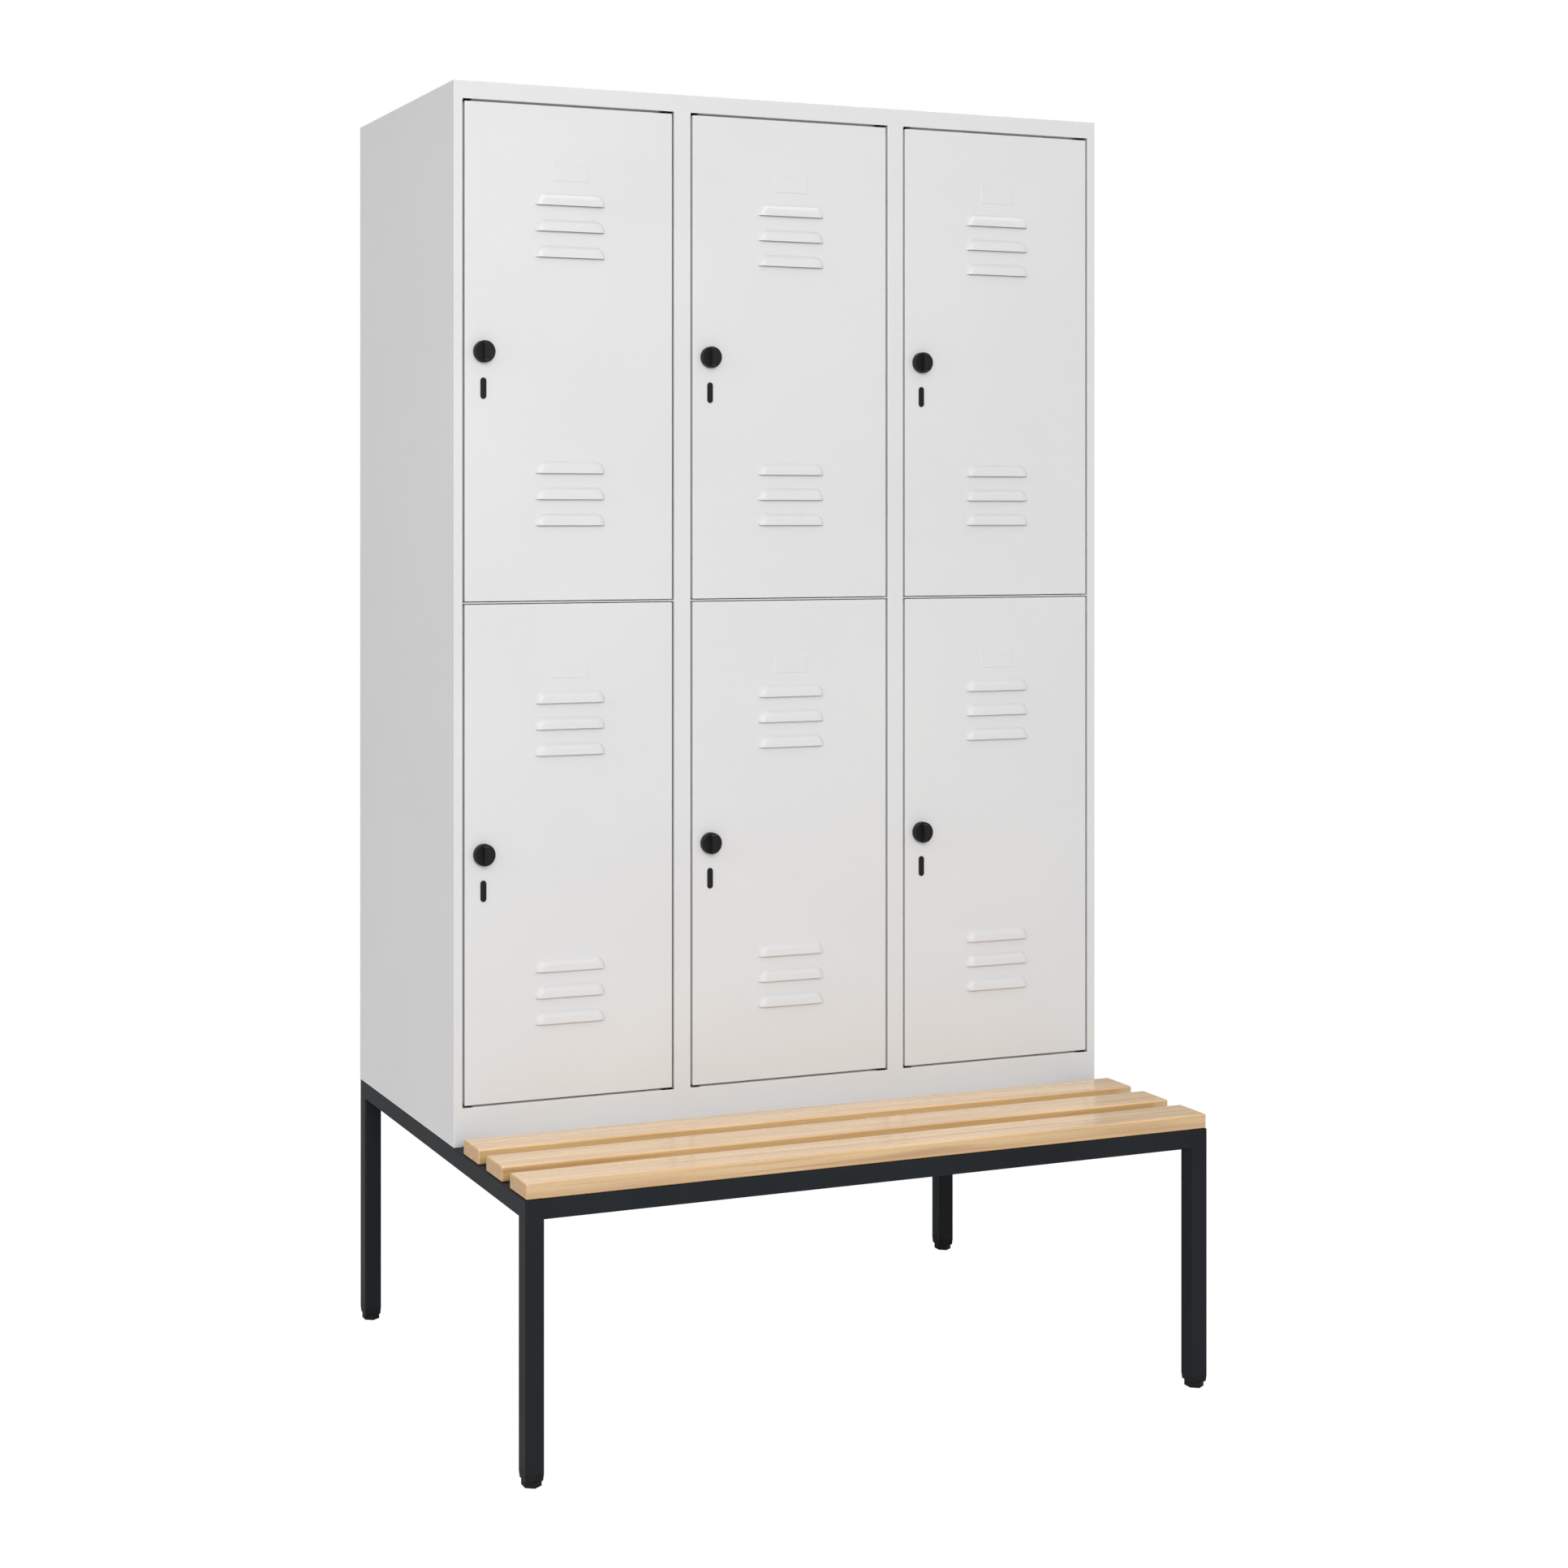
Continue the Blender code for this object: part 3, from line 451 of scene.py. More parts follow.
@dataclass(frozen=True)
class StudioPaper:
    """Pale seamless background paper, which gives the eye a matt, even near-white."""

    name: str = "seamless_pale_paper"
    colour: str = "#BEBEBE"
    fibre: str = "#BABABA"
    fibre_mm: float = 30.0
    roughness: float = 0.9
    exposure: float = 1.02
    # Share of its own light: the paper is lit until it burns out to white
    burnt_out: float = 0.98

    def build(self) -> Material:
        """Make the material.

        Returns:
            The paper, patterned on Object coordinates.
        """
        material = bpy.data.materials.new(self.name)
        tree = empty_tree(material)
        place = add_node(tree, "ShaderNodeTexCoord").outputs["Object"]
        fibres = add_node(tree, "ShaderNodeTexNoise", {
            "Vector": place, "Scale": per_metre(self.fibre_mm), "Detail": 2.0})
        tone = add_node(tree, "ShaderNodeMix", {
            "Factor": fibres.outputs["Fac"], 6: linear(self.colour), 7: linear(self.fibre)},
            data_type="RGBA")
        paper = add_node(tree, "ShaderNodeBsdfPrincipled", {
            "Base Color": tone.outputs[2], "Roughness": self.roughness})
        seen = add_node(tree, "ShaderNodeLightPath").outputs["Is Camera Ray"]
        share = add_node(tree, "ShaderNodeMapRange", {"Value": seen, "To Max": self.burnt_out})
        glow = add_node(tree, "ShaderNodeEmission", {
            "Color": WHITE, "Strength": self.exposure})
        mixed = add_node(tree, "ShaderNodeMixShader", {
            0: share.outputs["Result"], 1: paper.outputs["BSDF"], 2: glow.outputs["Emission"]})
        add_node(tree, "ShaderNodeOutputMaterial", {"Surface": mixed.outputs["Shader"]})
        return material


def make_finishes() -> dict[Slot, Material]:
    """Make every finish of the locker once, for the pieces that share it.

    Returns:
        The finish of each slot.
    """
    return {
        Slot.CABINET_PAINT: PowderCoat(
            "light_grey_powder_coat", "#D9D9D9", "#D6D6D7", 0.42).build(),
        Slot.FRAME_PAINT: PowderCoat(
            "anthracite_powder_coat", "#1A1D22", "#1E2226", 0.5, speck=0.08,
            reflectance=0.15).build(),
        Slot.BLACK_PLASTIC: MouldedPlastic().build(),
        Slot.ZINC_STEEL: ZincPlate().build(),
        Slot.BEECH: LacqueredBeech().build()}


def dress_nodes(nodes: dict[str, bpy.types.Object], finishes: dict[Slot, Material]) -> None:
    """Give every CAD node its finish, whether it stays in sight or not.

    Args:
        nodes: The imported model's nodes by name.
        finishes: The finish of each slot.
    """
    for name, node in nodes.items():
        slots = [slot for slot, starts in NODE_STARTS.items() if name.startswith(starts)]
        node.data.materials.clear()
        node.data.materials.append(finishes[slots[0] if slots else Slot.CABINET_PAINT])
    LOG.info("%d CAD nodes have their finish", len(nodes))


def near(value: float, wanted: float) -> bool:
    """Whether two coordinates are the same but for rounding."""
    return abs(value - wanted) < TINY


def corner_edges(bm: Mesh, degrees: float = 40.0) -> list[Edge]:
    """Find the edges at which the surface turns by more than an angle."""
    limit = math.radians(degrees)
    return [edge for edge in bm.edges if edge.calc_face_angle(0.0) > limit]


def edges_at(bm: Mesh, test: Callable[[Vector], bool]) -> list[Edge]:
    """Find the edges whose two ends both pass a test."""
    return [edge for edge in bm.edges if all(test(vert.co) for vert in edge.verts)]


def edges_on(bm: Mesh, axis: int, level: float) -> list[Edge]:
    """Find the edges that lie in one plane across an axis."""
    return edges_at(bm, lambda point: near(point[axis], level))


def long_edges(bm: Mesh, axis: int, length: float) -> list[Edge]:
    """Find the edges that run more than a length along an axis."""
    return [
        edge for edge in bm.edges
        if abs(edge.verts[0].co[axis] - edge.verts[1].co[axis]) > length]


def verts_in(items: Iterable[object]) -> list[Vert]:
    """Pick out the vertices."""
    return [item for item in items if isinstance(item, Vert)]


def shift(bm: Mesh, reach: Sequence[float], verts: Sequence[Vert] | None = None) -> None:
    """Move some vertices, or the whole mesh."""
    bmesh.ops.translate(bm, vec=Vector(reach), verts=bm.verts if verts is None else verts)


def round_edges(bm: Mesh, edges: Iterable[Edge], radius: float, segments: int = 3) -> None:
    """Round some edges over.

    Args:
        bm: The mesh.
        edges: The edges to round.
        radius: How far the rounding reaches from each edge.
        segments: Number of steps in the rounding.
    """
    bmesh.ops.bevel(
        bm, geom=list(edges), offset=radius, segments=segments, profile=0.5,
        affect="EDGES", material=-1, clamp_overlap=True)


def fold(bm: Mesh, edges: Iterable[Edge], reach: Sequence[float]) -> list[Edge]:
    """Draw new sheet out of open edges, as a fold does.

    Args:
        bm: The sheet.
        edges: The open edges to draw from.
        reach: How far and which way the new strip goes.

    Returns:
        The new strip's open edges along its end.
    """
    made = bmesh.ops.extrude_edge_only(bm, edges=list(edges))["geom"]
    verts = verts_in(made)
    shift(bm, reach, verts)
    ends = set(verts)
    return [
        item for item in made
        if isinstance(item, Edge) and all(vert in ends for vert in item.verts)]


def raise_face(bm: Mesh, face: Face, height: float) -> list[Vert]:
    """Draw a block out of a level face, which stays as the block's other end.

    Args:
        bm: The mesh.
        face: The face.
        height: How far the block goes, along Z.

    Returns:
        The vertices of the block's new end.
    """
    made = bmesh.ops.extrude_face_region(bm, geom=[face], use_keep_orig=True)["geom"]
    end = verts_in(made)
    shift(bm, (0.0, 0.0, height), end)
    return end


def inset(bm: Mesh, faces: Sequence[Face], margin: float, rise: float = 0.0) -> list[Face]:
    """Draw faces in from their outline, and raise what is left of them.

    Args:
        bm: The mesh.
        faces: The faces, as one region.
        margin: How far the region's outline is drawn in.
        rise: How far the region is raised along its normal.

    Returns:
        The new faces between the old outline and the new one.
    """
    return bmesh.ops.inset_region(
        bm, faces=faces, thickness=margin, depth=rise, use_even_offset=True,
        use_boundary=True)["faces"]


def fill_sheet(bm: Mesh, edges: Sequence[Edge], facing: float) -> None:
    """Fill the sheet between rings of edges in a plane that faces along Y, by 1 or -1."""
    bmesh.ops.triangle_fill(
        bm, use_beauty=True, use_dissolve=False, normal=(0.0, facing, 0.0), edges=edges)


def turn_sheet(bm: Mesh, facing: float) -> None:
    """Make all faces of a sheet face one way, so that its widest one faces along Y.

    Args:
        bm: The sheet.
        facing: Which way along Y the widest face looks, 1 or -1.
    """
    bmesh.ops.recalc_face_normals(bm, faces=bm.faces)
    widest = max(bm.faces, key=lambda face: face.calc_area())
    if widest.normal.y * facing < 0:
        bmesh.ops.reverse_faces(bm, faces=bm.faces)


def ruled_sheet(
    bm: Mesh, across: Sequence[float], up: Sequence[float], depth: float = 0.0,
) -> list[Vert]:
    """Lay a flat sheet that faces the front and is divided along given lines.

    Args:
        bm: The mesh that gets the sheet.
        across: The x of each upright line.
        up: The z of each level line.
        depth: The y that the sheet stands at.

    Returns:
        The sheet's vertices.
    """
    columns = len(across) - 1
    rows = len(up) - 1
    made = bmesh.ops.create_grid(bm, x_segments=columns, y_segments=rows, size=0.5)
    for vert in made["verts"]:
        column = round((vert.co.x + 0.5) * columns)
        row = round((vert.co.y + 0.5) * rows)
        vert.co = (across[column], depth, up[row])
    bm.normal_update()
    return made["verts"]


def add_box(
    bm: Mesh, low: Sequence[float], high: Sequence[float], radius: float = 0.0,
    segments: int = 3,
) -> None:
    """Add a block between two opposite corners, with its edges rounded over.

    Args:
        bm: The mesh that gets the block.
        low: The lowest corner.
        high: The highest corner.
        radius: Radius of the rounded edges, or 0 to leave them sharp.
        segments: Number of steps in each rounding.
    """
    size = Vector(high) - Vector(low)
    middle = (Vector(high) + Vector(low)) / 2
    matrix = Matrix.Translation(middle) @ Matrix.Diagonal((*size, 1.0))
    verts = bmesh.ops.create_cube(bm, size=1.0, matrix=matrix)["verts"]
    if radius > 0:
        round_edges(bm, {edge for vert in verts for edge in vert.link_edges}, radius, segments)


def lathe(
    bm: Mesh, profile: Sequence[tuple[float, float]], steps: int,
    matrix: Matrix | None = None,
) -> None:
    """Turn a profile of (radius, height) points round Z, closed at its poles.

    Args:
        bm: The mesh that gets the turned shape.
        profile: The points, from one pole to the other.
        steps: Number of steps in a full turn.
        matrix: Where the turned shape goes.
    """
    before = set(bm.verts)
    verts = [bm.verts.new((radius, 0.0, height)) for radius, height in profile]
    edges = [bm.edges.new(pair) for pair in zip(verts, verts[1:])]
    bmesh.ops.spin(
        bm, geom=verts + edges, cent=(0, 0, 0), axis=(0, 0, 1), angle=math.tau,
        steps=steps, use_merge=True, use_duplicate=False)
    made = [vert for vert in bm.verts if vert not in before]
    bmesh.ops.remove_doubles(bm, verts=made, dist=TINY / 10)
    made = [vert for vert in bm.verts if vert not in before]
    faces = {face for vert in made for face in vert.link_faces}
    bmesh.ops.recalc_face_normals(bm, faces=list(faces))
    if matrix is not None:
        bmesh.ops.transform(bm, matrix=matrix, verts=made)


@dataclass
class Handover:
    """Turns modelled meshes into pieces that are finished and ride on their bodies."""

    finishes: dict[Slot, Material]

    def piece(
        self,
        bm: Mesh,
        name: str,
        slot: Slot,
        nodes: Sequence[str] = (),
        body: str = "locker_body",
        sheet: float = 0.0,
        sharp: float = 40.0,
    ) -> None:
        """Make a mesh into a finished piece.

        Args:
            bm: The modelled mesh, in place. It is used up.
            name: The piece's name.
            slot: The record's material slot that the finish comes from.
            nodes: The CAD nodes that the piece stands for.
            body: The body that the piece moves with.
            sheet: Thickness that an open sheet gets behind its face, or 0 for a solid.
            sharp: Edges that turn by more than this many degrees stay crisp.
        """
        mesh = bpy.data.meshes.new(name)
        bm.to_mesh(mesh)
        bm.free()
        made = add_object(name, mesh)
        if sheet > 0:
            wall = made.modifiers.new("sheet", "SOLIDIFY")
            wall.thickness = sheet
            wall.offset = -1.0
            wall.use_even_offset = True
            depsgraph = bpy.context.evaluated_depsgraph_get()
            walled = bpy.data.meshes.new_from_object(made.evaluated_get(depsgraph))
            made.modifiers.clear()
            made.data = walled
            bpy.data.meshes.remove(mesh)
            mesh = walled
            mesh.name = name
        mesh.materials.append(self.finishes[slot])
        mesh.shade_smooth()
        mesh.set_sharp_from_angle(angle=math.radians(sharp))
        weighted = made.modifiers.new("flat_faces_lead", "WEIGHTED_NORMAL")
        weighted.keep_sharp = True
        weighted.weight = 100
        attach(made, body)
        if nodes:
            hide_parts(*nodes)
        LOG.info("%s: %d faces, moves with %s", name, len(mesh.polygons), body)


@dataclass
class CabinetSizes:
    """Sizes that the carcass and the doors share, from the cabinet's front left bottom."""

    opening: float = 0.370
    stile: float = 0.015
    depth: float = 0.500
    height: float = 1.700
    bottom_rail: float = 0.0616
    opening_top: float = 1.6710
    bottom_gap: float = 0.0030
    top_gap: float = 0.0036
    sheet: float = 0.001
    fit: float = 0.0003
    lock_flange: float = 0.018
    stop_y: float = 0.0143
    stop_lip: float = 0.012
    hinge_flange: float = 0.022
    hinge_stop_y: float = 0.01857

    @property
    def pitch(self) -> float:
        """The distance from one column to the next."""
        return self.opening + 2 * self.stile

    @property
    def width(self) -> float:
        """The cabinet's whole width."""
        return COLUMNS * self.pitch

    @property
    def back(self) -> float:
        """Where the walls end, just in front of the back sheet."""
        return self.depth - self.sheet - self.fit

    @property
    def behind_stops(self) -> float:
        """Where the floor and the shelves start, just behind the hinge stops."""
        return self.hinge_stop_y + self.sheet + self.fit

    def opening_span(self, column: int) -> tuple[float, float]:
        """The x at which a column's opening starts and ends."""
        start = column * self.pitch + self.stile
        return start, start + self.opening

    def stop_span(self, column: int) -> tuple[float, float]:
        """The x at which a column's level stops start and end, between its upright flanges."""
        start, end = self.opening_span(column)
        return start + self.lock_flange + self.fit, end - self.hinge_flange - self.fit


@dataclass(frozen=True)
class Softbox:
    """A square soft light, with its power in watts and how much it shows in reflections."""

    name: str
    place: Point
    target: Point
    power: float
    size: float = 2.0
    glint: float = 1.0

    def hang(self) -> None:
        """Hang the light and turn it to its target."""
        data = bpy.data.lights.new(self.name, "AREA")
        data.shape = "SQUARE"
        data.size = self.size
        data.energy = self.power
        data.specular_factor = self.glint
        light = add_object(self.name, data)
        light.location = self.place
        aim = Vector(self.target) - Vector(self.place)
        light.rotation_euler = aim.to_track_quat("-Z", "Y").to_euler()


SOFTBOXES = (
    Softbox("front_softbox", (-1.2, -5.4, 3.0), (0.0, 0.0, 1.1), 112.0),
    Softbox("key_softbox", (-1.9, -3.4, 2.6), (-0.2, 0.0, 1.1), 21.0),
    # It hangs far up behind the doors' plane, to light the seat and nearly spare the louvres
    Softbox("overhead_softbox", (0.0, 0.19, 12.0), (0.0, 0.19, 0.0), 600.0, 0.26, 0.0),
    Softbox("left_softbox", (-4.5, -0.6, 2.6), (-0.6, 0.2, 1.4), 30.0, glint=0.3),
    Softbox("rear_softbox", (-3.4, 2.6, 1.6), (-0.6, 0.4, 0.6), 15.0, glint=0.2))


@dataclass
class Studio:
    """The white studio, its soft lights and the camera at the photograph's angle."""

    finish: StudioPaper = field(default_factory=StudioPaper)
    floor_reach: float = 40.0
    camera_place: Point = (-1.8665, -3.6635, 1.4251)
    camera_turn: float = -20.267
    sensor_mm: float = 36.0
    lens_mm: float = 54.69
    lens_shift: tuple[float, float] = (0.191, -0.1692)
    sight: float = 200.0
    world_front: float = 0.81
    world_behind: float = 0.35
    backdrop: float = 1.0

    def build(self) -> None:
        """Make the floor, the surroundings, the lights and the camera."""
        self.lay_floor()
        self.light_room()
        for softbox in SOFTBOXES:
            softbox.hang()
        self.aim_camera()

    def lay_floor(self) -> None:
        """Lay the pale floor."""
        bm = bmesh.new()
        bmesh.ops.create_grid(bm, x_segments=4, y_segments=4, size=self.floor_reach)
        mesh = bpy.data.meshes.new("studio_floor")
        bm.to_mesh(mesh)
        bm.free()
        mesh.materials.append(self.finish.build())
        add_object("studio_floor", mesh)

    def light_room(self) -> None:
        """Make the surroundings white, and dimmer behind the locker than in front of it."""
        world = bpy.data.worlds.new("studio_white")
        tree = empty_tree(world)
        seen = add_node(tree, "ShaderNodeLightPath").outputs["Is Camera Ray"]
        direction = add_node(tree, "ShaderNodeTexCoord").outputs["Generated"]
        depth = add_node(tree, "ShaderNodeSeparateXYZ", {"Vector": direction}).outputs["Y"]
        room = add_node(tree, "ShaderNodeMapRange", {
            "Value": depth, "From Min": -1.0, "From Max": 1.0, "To Min": self.world_front,
            "To Max": self.world_behind})
        strength = add_node(tree, "ShaderNodeMapRange", {
            "Value": seen, "To Min": room.outputs["Result"], "To Max": self.backdrop})
        background = add_node(tree, "ShaderNodeBackground", {
            "Color": WHITE, "Strength": strength.outputs["Result"]})
        add_node(tree, "ShaderNodeOutputWorld", {"Surface": background.outputs["Background"]})
        bpy.context.scene.world = world

    def aim_camera(self) -> None:
        """Set up the camera that was fitted to the photograph."""
        data = bpy.data.cameras.new("camera")
        data.sensor_width = self.sensor_mm
        data.lens = self.lens_mm
        data.shift_x, data.shift_y = self.lens_shift
        data.clip_end = self.sight
        camera = add_object("camera", data)
        camera.location = self.camera_place
        camera.rotation_euler = (math.pi / 2, 0.0, math.radians(self.camera_turn))
        bpy.context.scene.camera = camera
        bpy.context.scene.view_settings.view_transform = "Standard"


@dataclass
class Carcass:
    """The cabinet's welded sheet shell: front frame, side walls, roof and floor."""

    handover: Handover
    sizes: CabinetSizes
    origin: Vector
    fold_radius: float = 0.0012
    back_flange: float = 0.014
    rail_foot: float = 0.030
    floor_flange: float = 0.025
    sheet_edge: float = 0.0003
    shelf_nose: float = 0.002
    nose_radius: float = 0.0006
    bearing_setback: float = 0.004
    weld_inset: float = 0.008
    weld_pitch: float = 0.150
    weld_radius: float = 0.003
    weld_depth: float = 0.00035
    weld_steps: int = 12
    weld_crisp: float = 20.0

    def build(self) -> None:
        """Model the shell, the walls between the columns, the shelves and the back."""
        self.build_shell()
        for number in range(1, COLUMNS):
            self.build_partition(number)
        for column in range(COLUMNS):
            self.build_shelf(column)
            self.mould_bearings(column)
        self.build_back()

    def build_shell(self) -> None:
        """Fold the front frame, its stops, the walls, the roof and the floor."""
        bm = bmesh.new()
        self.lay_front(bm)
        self.fold_openings(bm)
        self.fold_outside(bm)
        self.lay_floor(bm)
        bmesh.ops.remove_doubles(bm, verts=bm.verts, dist=TINY)
        round_edges(bm, corner_edges(bm), self.fold_radius)
        self.add_floor_stops(bm)
        shift(bm, self.origin)
        self.handover.piece(
            bm, "cabinet_shell", Slot.CABINET_PAINT,
            ("side_panel_left", "side_panel_right", "top_panel", "bottom_panel"),
            sheet=self.sizes.sheet)

    def lay_front(self, bm: Mesh) -> None:
        """Lay the front frame with its door openings.

        Args:
            bm: The shell's mesh.
        """
        size = self.sizes
        across = [0.0]
        for column in range(COLUMNS):
            start, end = size.opening_span(column)
            across += [start, *size.stop_span(column), end]
        across.append(size.width)
        up = [
            0.0, size.bottom_rail, size.bottom_rail + size.bottom_gap,
            size.opening_top - size.top_gap, size.opening_top, size.height]
        ruled_sheet(bm, across, up)
        cut = [face for face in bm.faces if self.in_opening(face.calc_center_median())]
        bmesh.ops.delete(bm, geom=cut, context="FACES")

    def in_opening(self, point: Vector) -> bool:
        """Tell whether a point of the front lies in a door opening.

        Args:
            point: The point.

        Returns:
            Whether it does.
        """
        size = self.sizes
        along = (point.x - size.stile) % size.pitch
        return along < size.opening and size.bottom_rail < point.z < size.opening_top

    def fold_openings(self, bm: Mesh) -> None:
        """Fold the returns and stop flanges round the openings.

        Args:
            bm: The shell's mesh.
        """
        size = self.sizes
        low, high = size.bottom_rail - TINY, size.opening_top + TINY
        for column in range(COLUMNS):
            start, end = size.opening_span(column)
            stop_start, stop_end = size.stop_span(column)
            sides = (
                (lambda point: near(point.x, start)
                 and low + size.bottom_gap < point.z < high - size.top_gap,
                 size.stop_y, (size.lock_flange, 0.0, 0.0)),
                (lambda point: near(point.x, end) and low < point.z < high,
                 size.hinge_stop_y, (-size.hinge_flange, 0.0, 0.0)),
                (lambda point: near(point.z, size.opening_top)
                 and stop_start - TINY < point.x < stop_end + TINY,
                 size.stop_y, (0.0, 0.0, -size.stop_lip)))
            for on_side, depth, flange in sides:
                rim = edges_at(bm, lambda point: near(point.y, 0.0) and on_side(point))
                fold(bm, fold(bm, rim, (0.0, depth, 0.0)), flange)

    def fold_outside(self, bm: Mesh) -> None:
        """Fold the side walls, the roof, and the foot and inner web of the bottom rail.

        Args:
            bm: The shell's mesh.
        """
        size = self.sizes
        for side, inwards in ((0.0, 1.0), (size.width, -1.0)):
            outer = edges_at(bm, lambda point: near(point.x, side) and near(point.y, 0.0))
            wall = fold(bm, outer, (0.0, size.back, 0.0))
            fold(bm, wall, (inwards * self.back_flange, 0.0, 0.0))
        upper = edges_at(bm, lambda point: near(point.z, size.height) and near(point.y, 0.0))
        fold(bm, upper, (0.0, size.back, 0.0))
        lower = edges_at(bm, lambda point: (
            near(point.z, 0.0) and near(point.y, 0.0)
            and size.stile - TINY < point.x < size.width - size.stile + TINY))
        foot = fold(bm, lower, (0.0, self.rail_foot, 0.0))
        fold(bm, foot, (0.0, 0.0, size.bottom_rail - size.sheet - 2 * size.fit))

    def lay_floor(self, bm: Mesh) -> None:
        """Fold the floor back from the bottom rail, notched at the openings' corners.

        Args:
            bm: The shell's mesh.
        """
        size = self.sizes
        level = size.bottom_rail
        back = size.back - size.sheet - size.fit
        across = [size.sheet + size.fit]
        for column in range(COLUMNS):
            start, end = size.stop_span(column)
            tongue = edges_at(bm, lambda point: (
                near(point.z, level) and near(point.y, 0.0)
                and start - TINY < point.x < end + TINY))
            fold(bm, tongue, (0.0, size.behind_stops, 0.0))
            across += [start, end]
        across.append(size.width - size.sheet - size.fit)
        plate = ruled_sheet(bm, across, [size.behind_stops, back])
        lying = Matrix.Translation((0.0, 0.0, level)) @ FACING_BACK
        bmesh.ops.transform(bm, matrix=lying, verts=plate)
        rear = edges_at(bm, lambda point: near(point.z, level) and near(point.y, back))
        fold(bm, rear, (0.0, 0.0, -self.floor_flange))

    def add_floor_stops(self, bm: Mesh) -> None:
        """Stand the stop strips on the floor behind the lower doors.

        Args:
            bm: The shell's mesh.
        """
        size = self.sizes
        level = size.bottom_rail
        for column in range(COLUMNS):
            start, end = size.stop_span(column)
            ruled_sheet(
                bm, [start + size.fit, end - size.fit],
                [level - size.sheet / 2, level + size.stop_lip], size.stop_y)

    def build_partition(self, number: int) -> None:
        """Fold the wall between two columns.

        Args:
            number: The partition, counted from the left.
        """
        size = self.sizes
        middle = number * size.pitch
        right = middle + size.sheet / 2
        bm = bmesh.new()
        ruled_sheet(
            bm, [middle - size.sheet, right],
            [size.bottom_rail + size.fit, size.opening_top - size.fit], size.sheet + size.fit)
        wall = fold(bm, edges_on(bm, X, right), (0.0, size.back - 2 * size.sheet - size.fit, 0.0))
        fold(bm, wall, (self.back_flange, 0.0, 0.0))
        round_edges(bm, corner_edges(bm), self.fold_radius)
        shift(bm, self.origin)
        self.handover.piece(
            bm, f"partition_wall_{number}", Slot.CABINET_PAINT, (f"partition_{number}",),
            sheet=size.sheet)

    def build_shelf(self, column: int) -> None:
        """Fold the shelf between the tiers, with its nose in the gap between the doors.

        Args:
            column: The column, counted from 0.
        """
        size = self.sizes
        node = f"tier_shelf_{column + 1}"
        low, high = (corner - self.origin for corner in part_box(node))
        start, end = size.opening_span(column)
        stop_start, stop_end = size.stop_span(column)
        front = size.behind_stops
        nose = high.z - self.shelf_nose
        under = high.z - self.sheet_edge
        plate = (low.x, front, high.z - size.sheet), high
        left_wall = (low.x, front, low.z), (low.x + size.sheet, high.y, under)
        right_wall = (high.x - size.sheet, front, low.z), (high.x, high.y, under)
        rear_wall = (low.x, high.y - size.sheet, low.z), (high.x, high.y, under)
        stop = (
            (stop_start, size.stop_y, nose - size.stop_lip),
            (stop_end, size.stop_y + size.sheet, under))
        bm = bmesh.new()
        for block in (plate, left_wall, right_wall, rear_wall, stop):
            add_box(bm, *block, self.sheet_edge)
        add_box(
            bm, (start + size.fit, low.y, nose), (end - size.fit, front + size.sheet, high.z),
            self.nose_radius)
        shift(bm, self.origin)
        self.handover.piece(bm, f"shelf_{column + 1}", Slot.CABINET_PAINT, (node,))

    def mould_bearings(self, column: int) -> None:
        """Add the moulded bearings of one column's hinge pins, above and below its doors.

        Args:
            column: The column, counted from 0.
        """
        size = self.sizes
        _, end = size.opening_span(column)
        front = size.sheet + size.fit
        stop_back = size.hinge_stop_y + size.sheet
        right = end - size.fit
        bm = bmesh.new()
        for level, root in (
                (size.bottom_rail - self.bearing_setback, size.bottom_rail),
                (size.opening_top + self.bearing_setback, size.opening_top)):
            add_box(
                bm, (end - size.hinge_flange, front, level - size.sheet / 2),
                (right, stop_back, level + size.sheet / 2), self.sheet_edge)
            add_box(
                bm, (end - size.sheet, front, min(level, root)),
                (right, stop_back, max(level, root)), self.sheet_edge)
        shift(bm, self.origin)
        # The bearings are moulded black; their black also serves as painted shade at the ends of
        # the door gaps.
        self.handover.piece(bm, f"hinge_bearings_{column + 1}", Slot.BLACK_PLASTIC)

    def build_back(self) -> None:
        """Lay the back sheet, with the marks of its spot welds."""
        low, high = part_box("back_panel")
        bm = bmesh.new()
        ruled_sheet(bm, [low.x, high.x], [low.z, high.z], high.y)
        bmesh.ops.delete(bm, geom=bm.faces[:], context="FACES_ONLY")
        rims = list(bm.edges)
        columns = [low.x + self.weld_inset, high.x - self.weld_inset]
        for number in range(1, COLUMNS):
            columns.append(low.x + number * self.sizes.pitch + self.weld_inset)
        rows = math.floor((high.z - low.z) / self.weld_pitch)
        spacing = (high.z - low.z - 2 * self.weld_inset) / rows
        for across in columns:
            for row in range(rows + 1):
                place = Vector((across, high.y, low.z + self.weld_inset + row * spacing))
                rims += self.press_weld(bm, place)
        fill_sheet(bm, rims, 1.0)
        turn_sheet(bm, 1.0)
        self.handover.piece(
            bm, "back_sheet", Slot.CABINET_PAINT, ("back_panel",), sheet=self.sizes.sheet,
            sharp=self.weld_crisp)

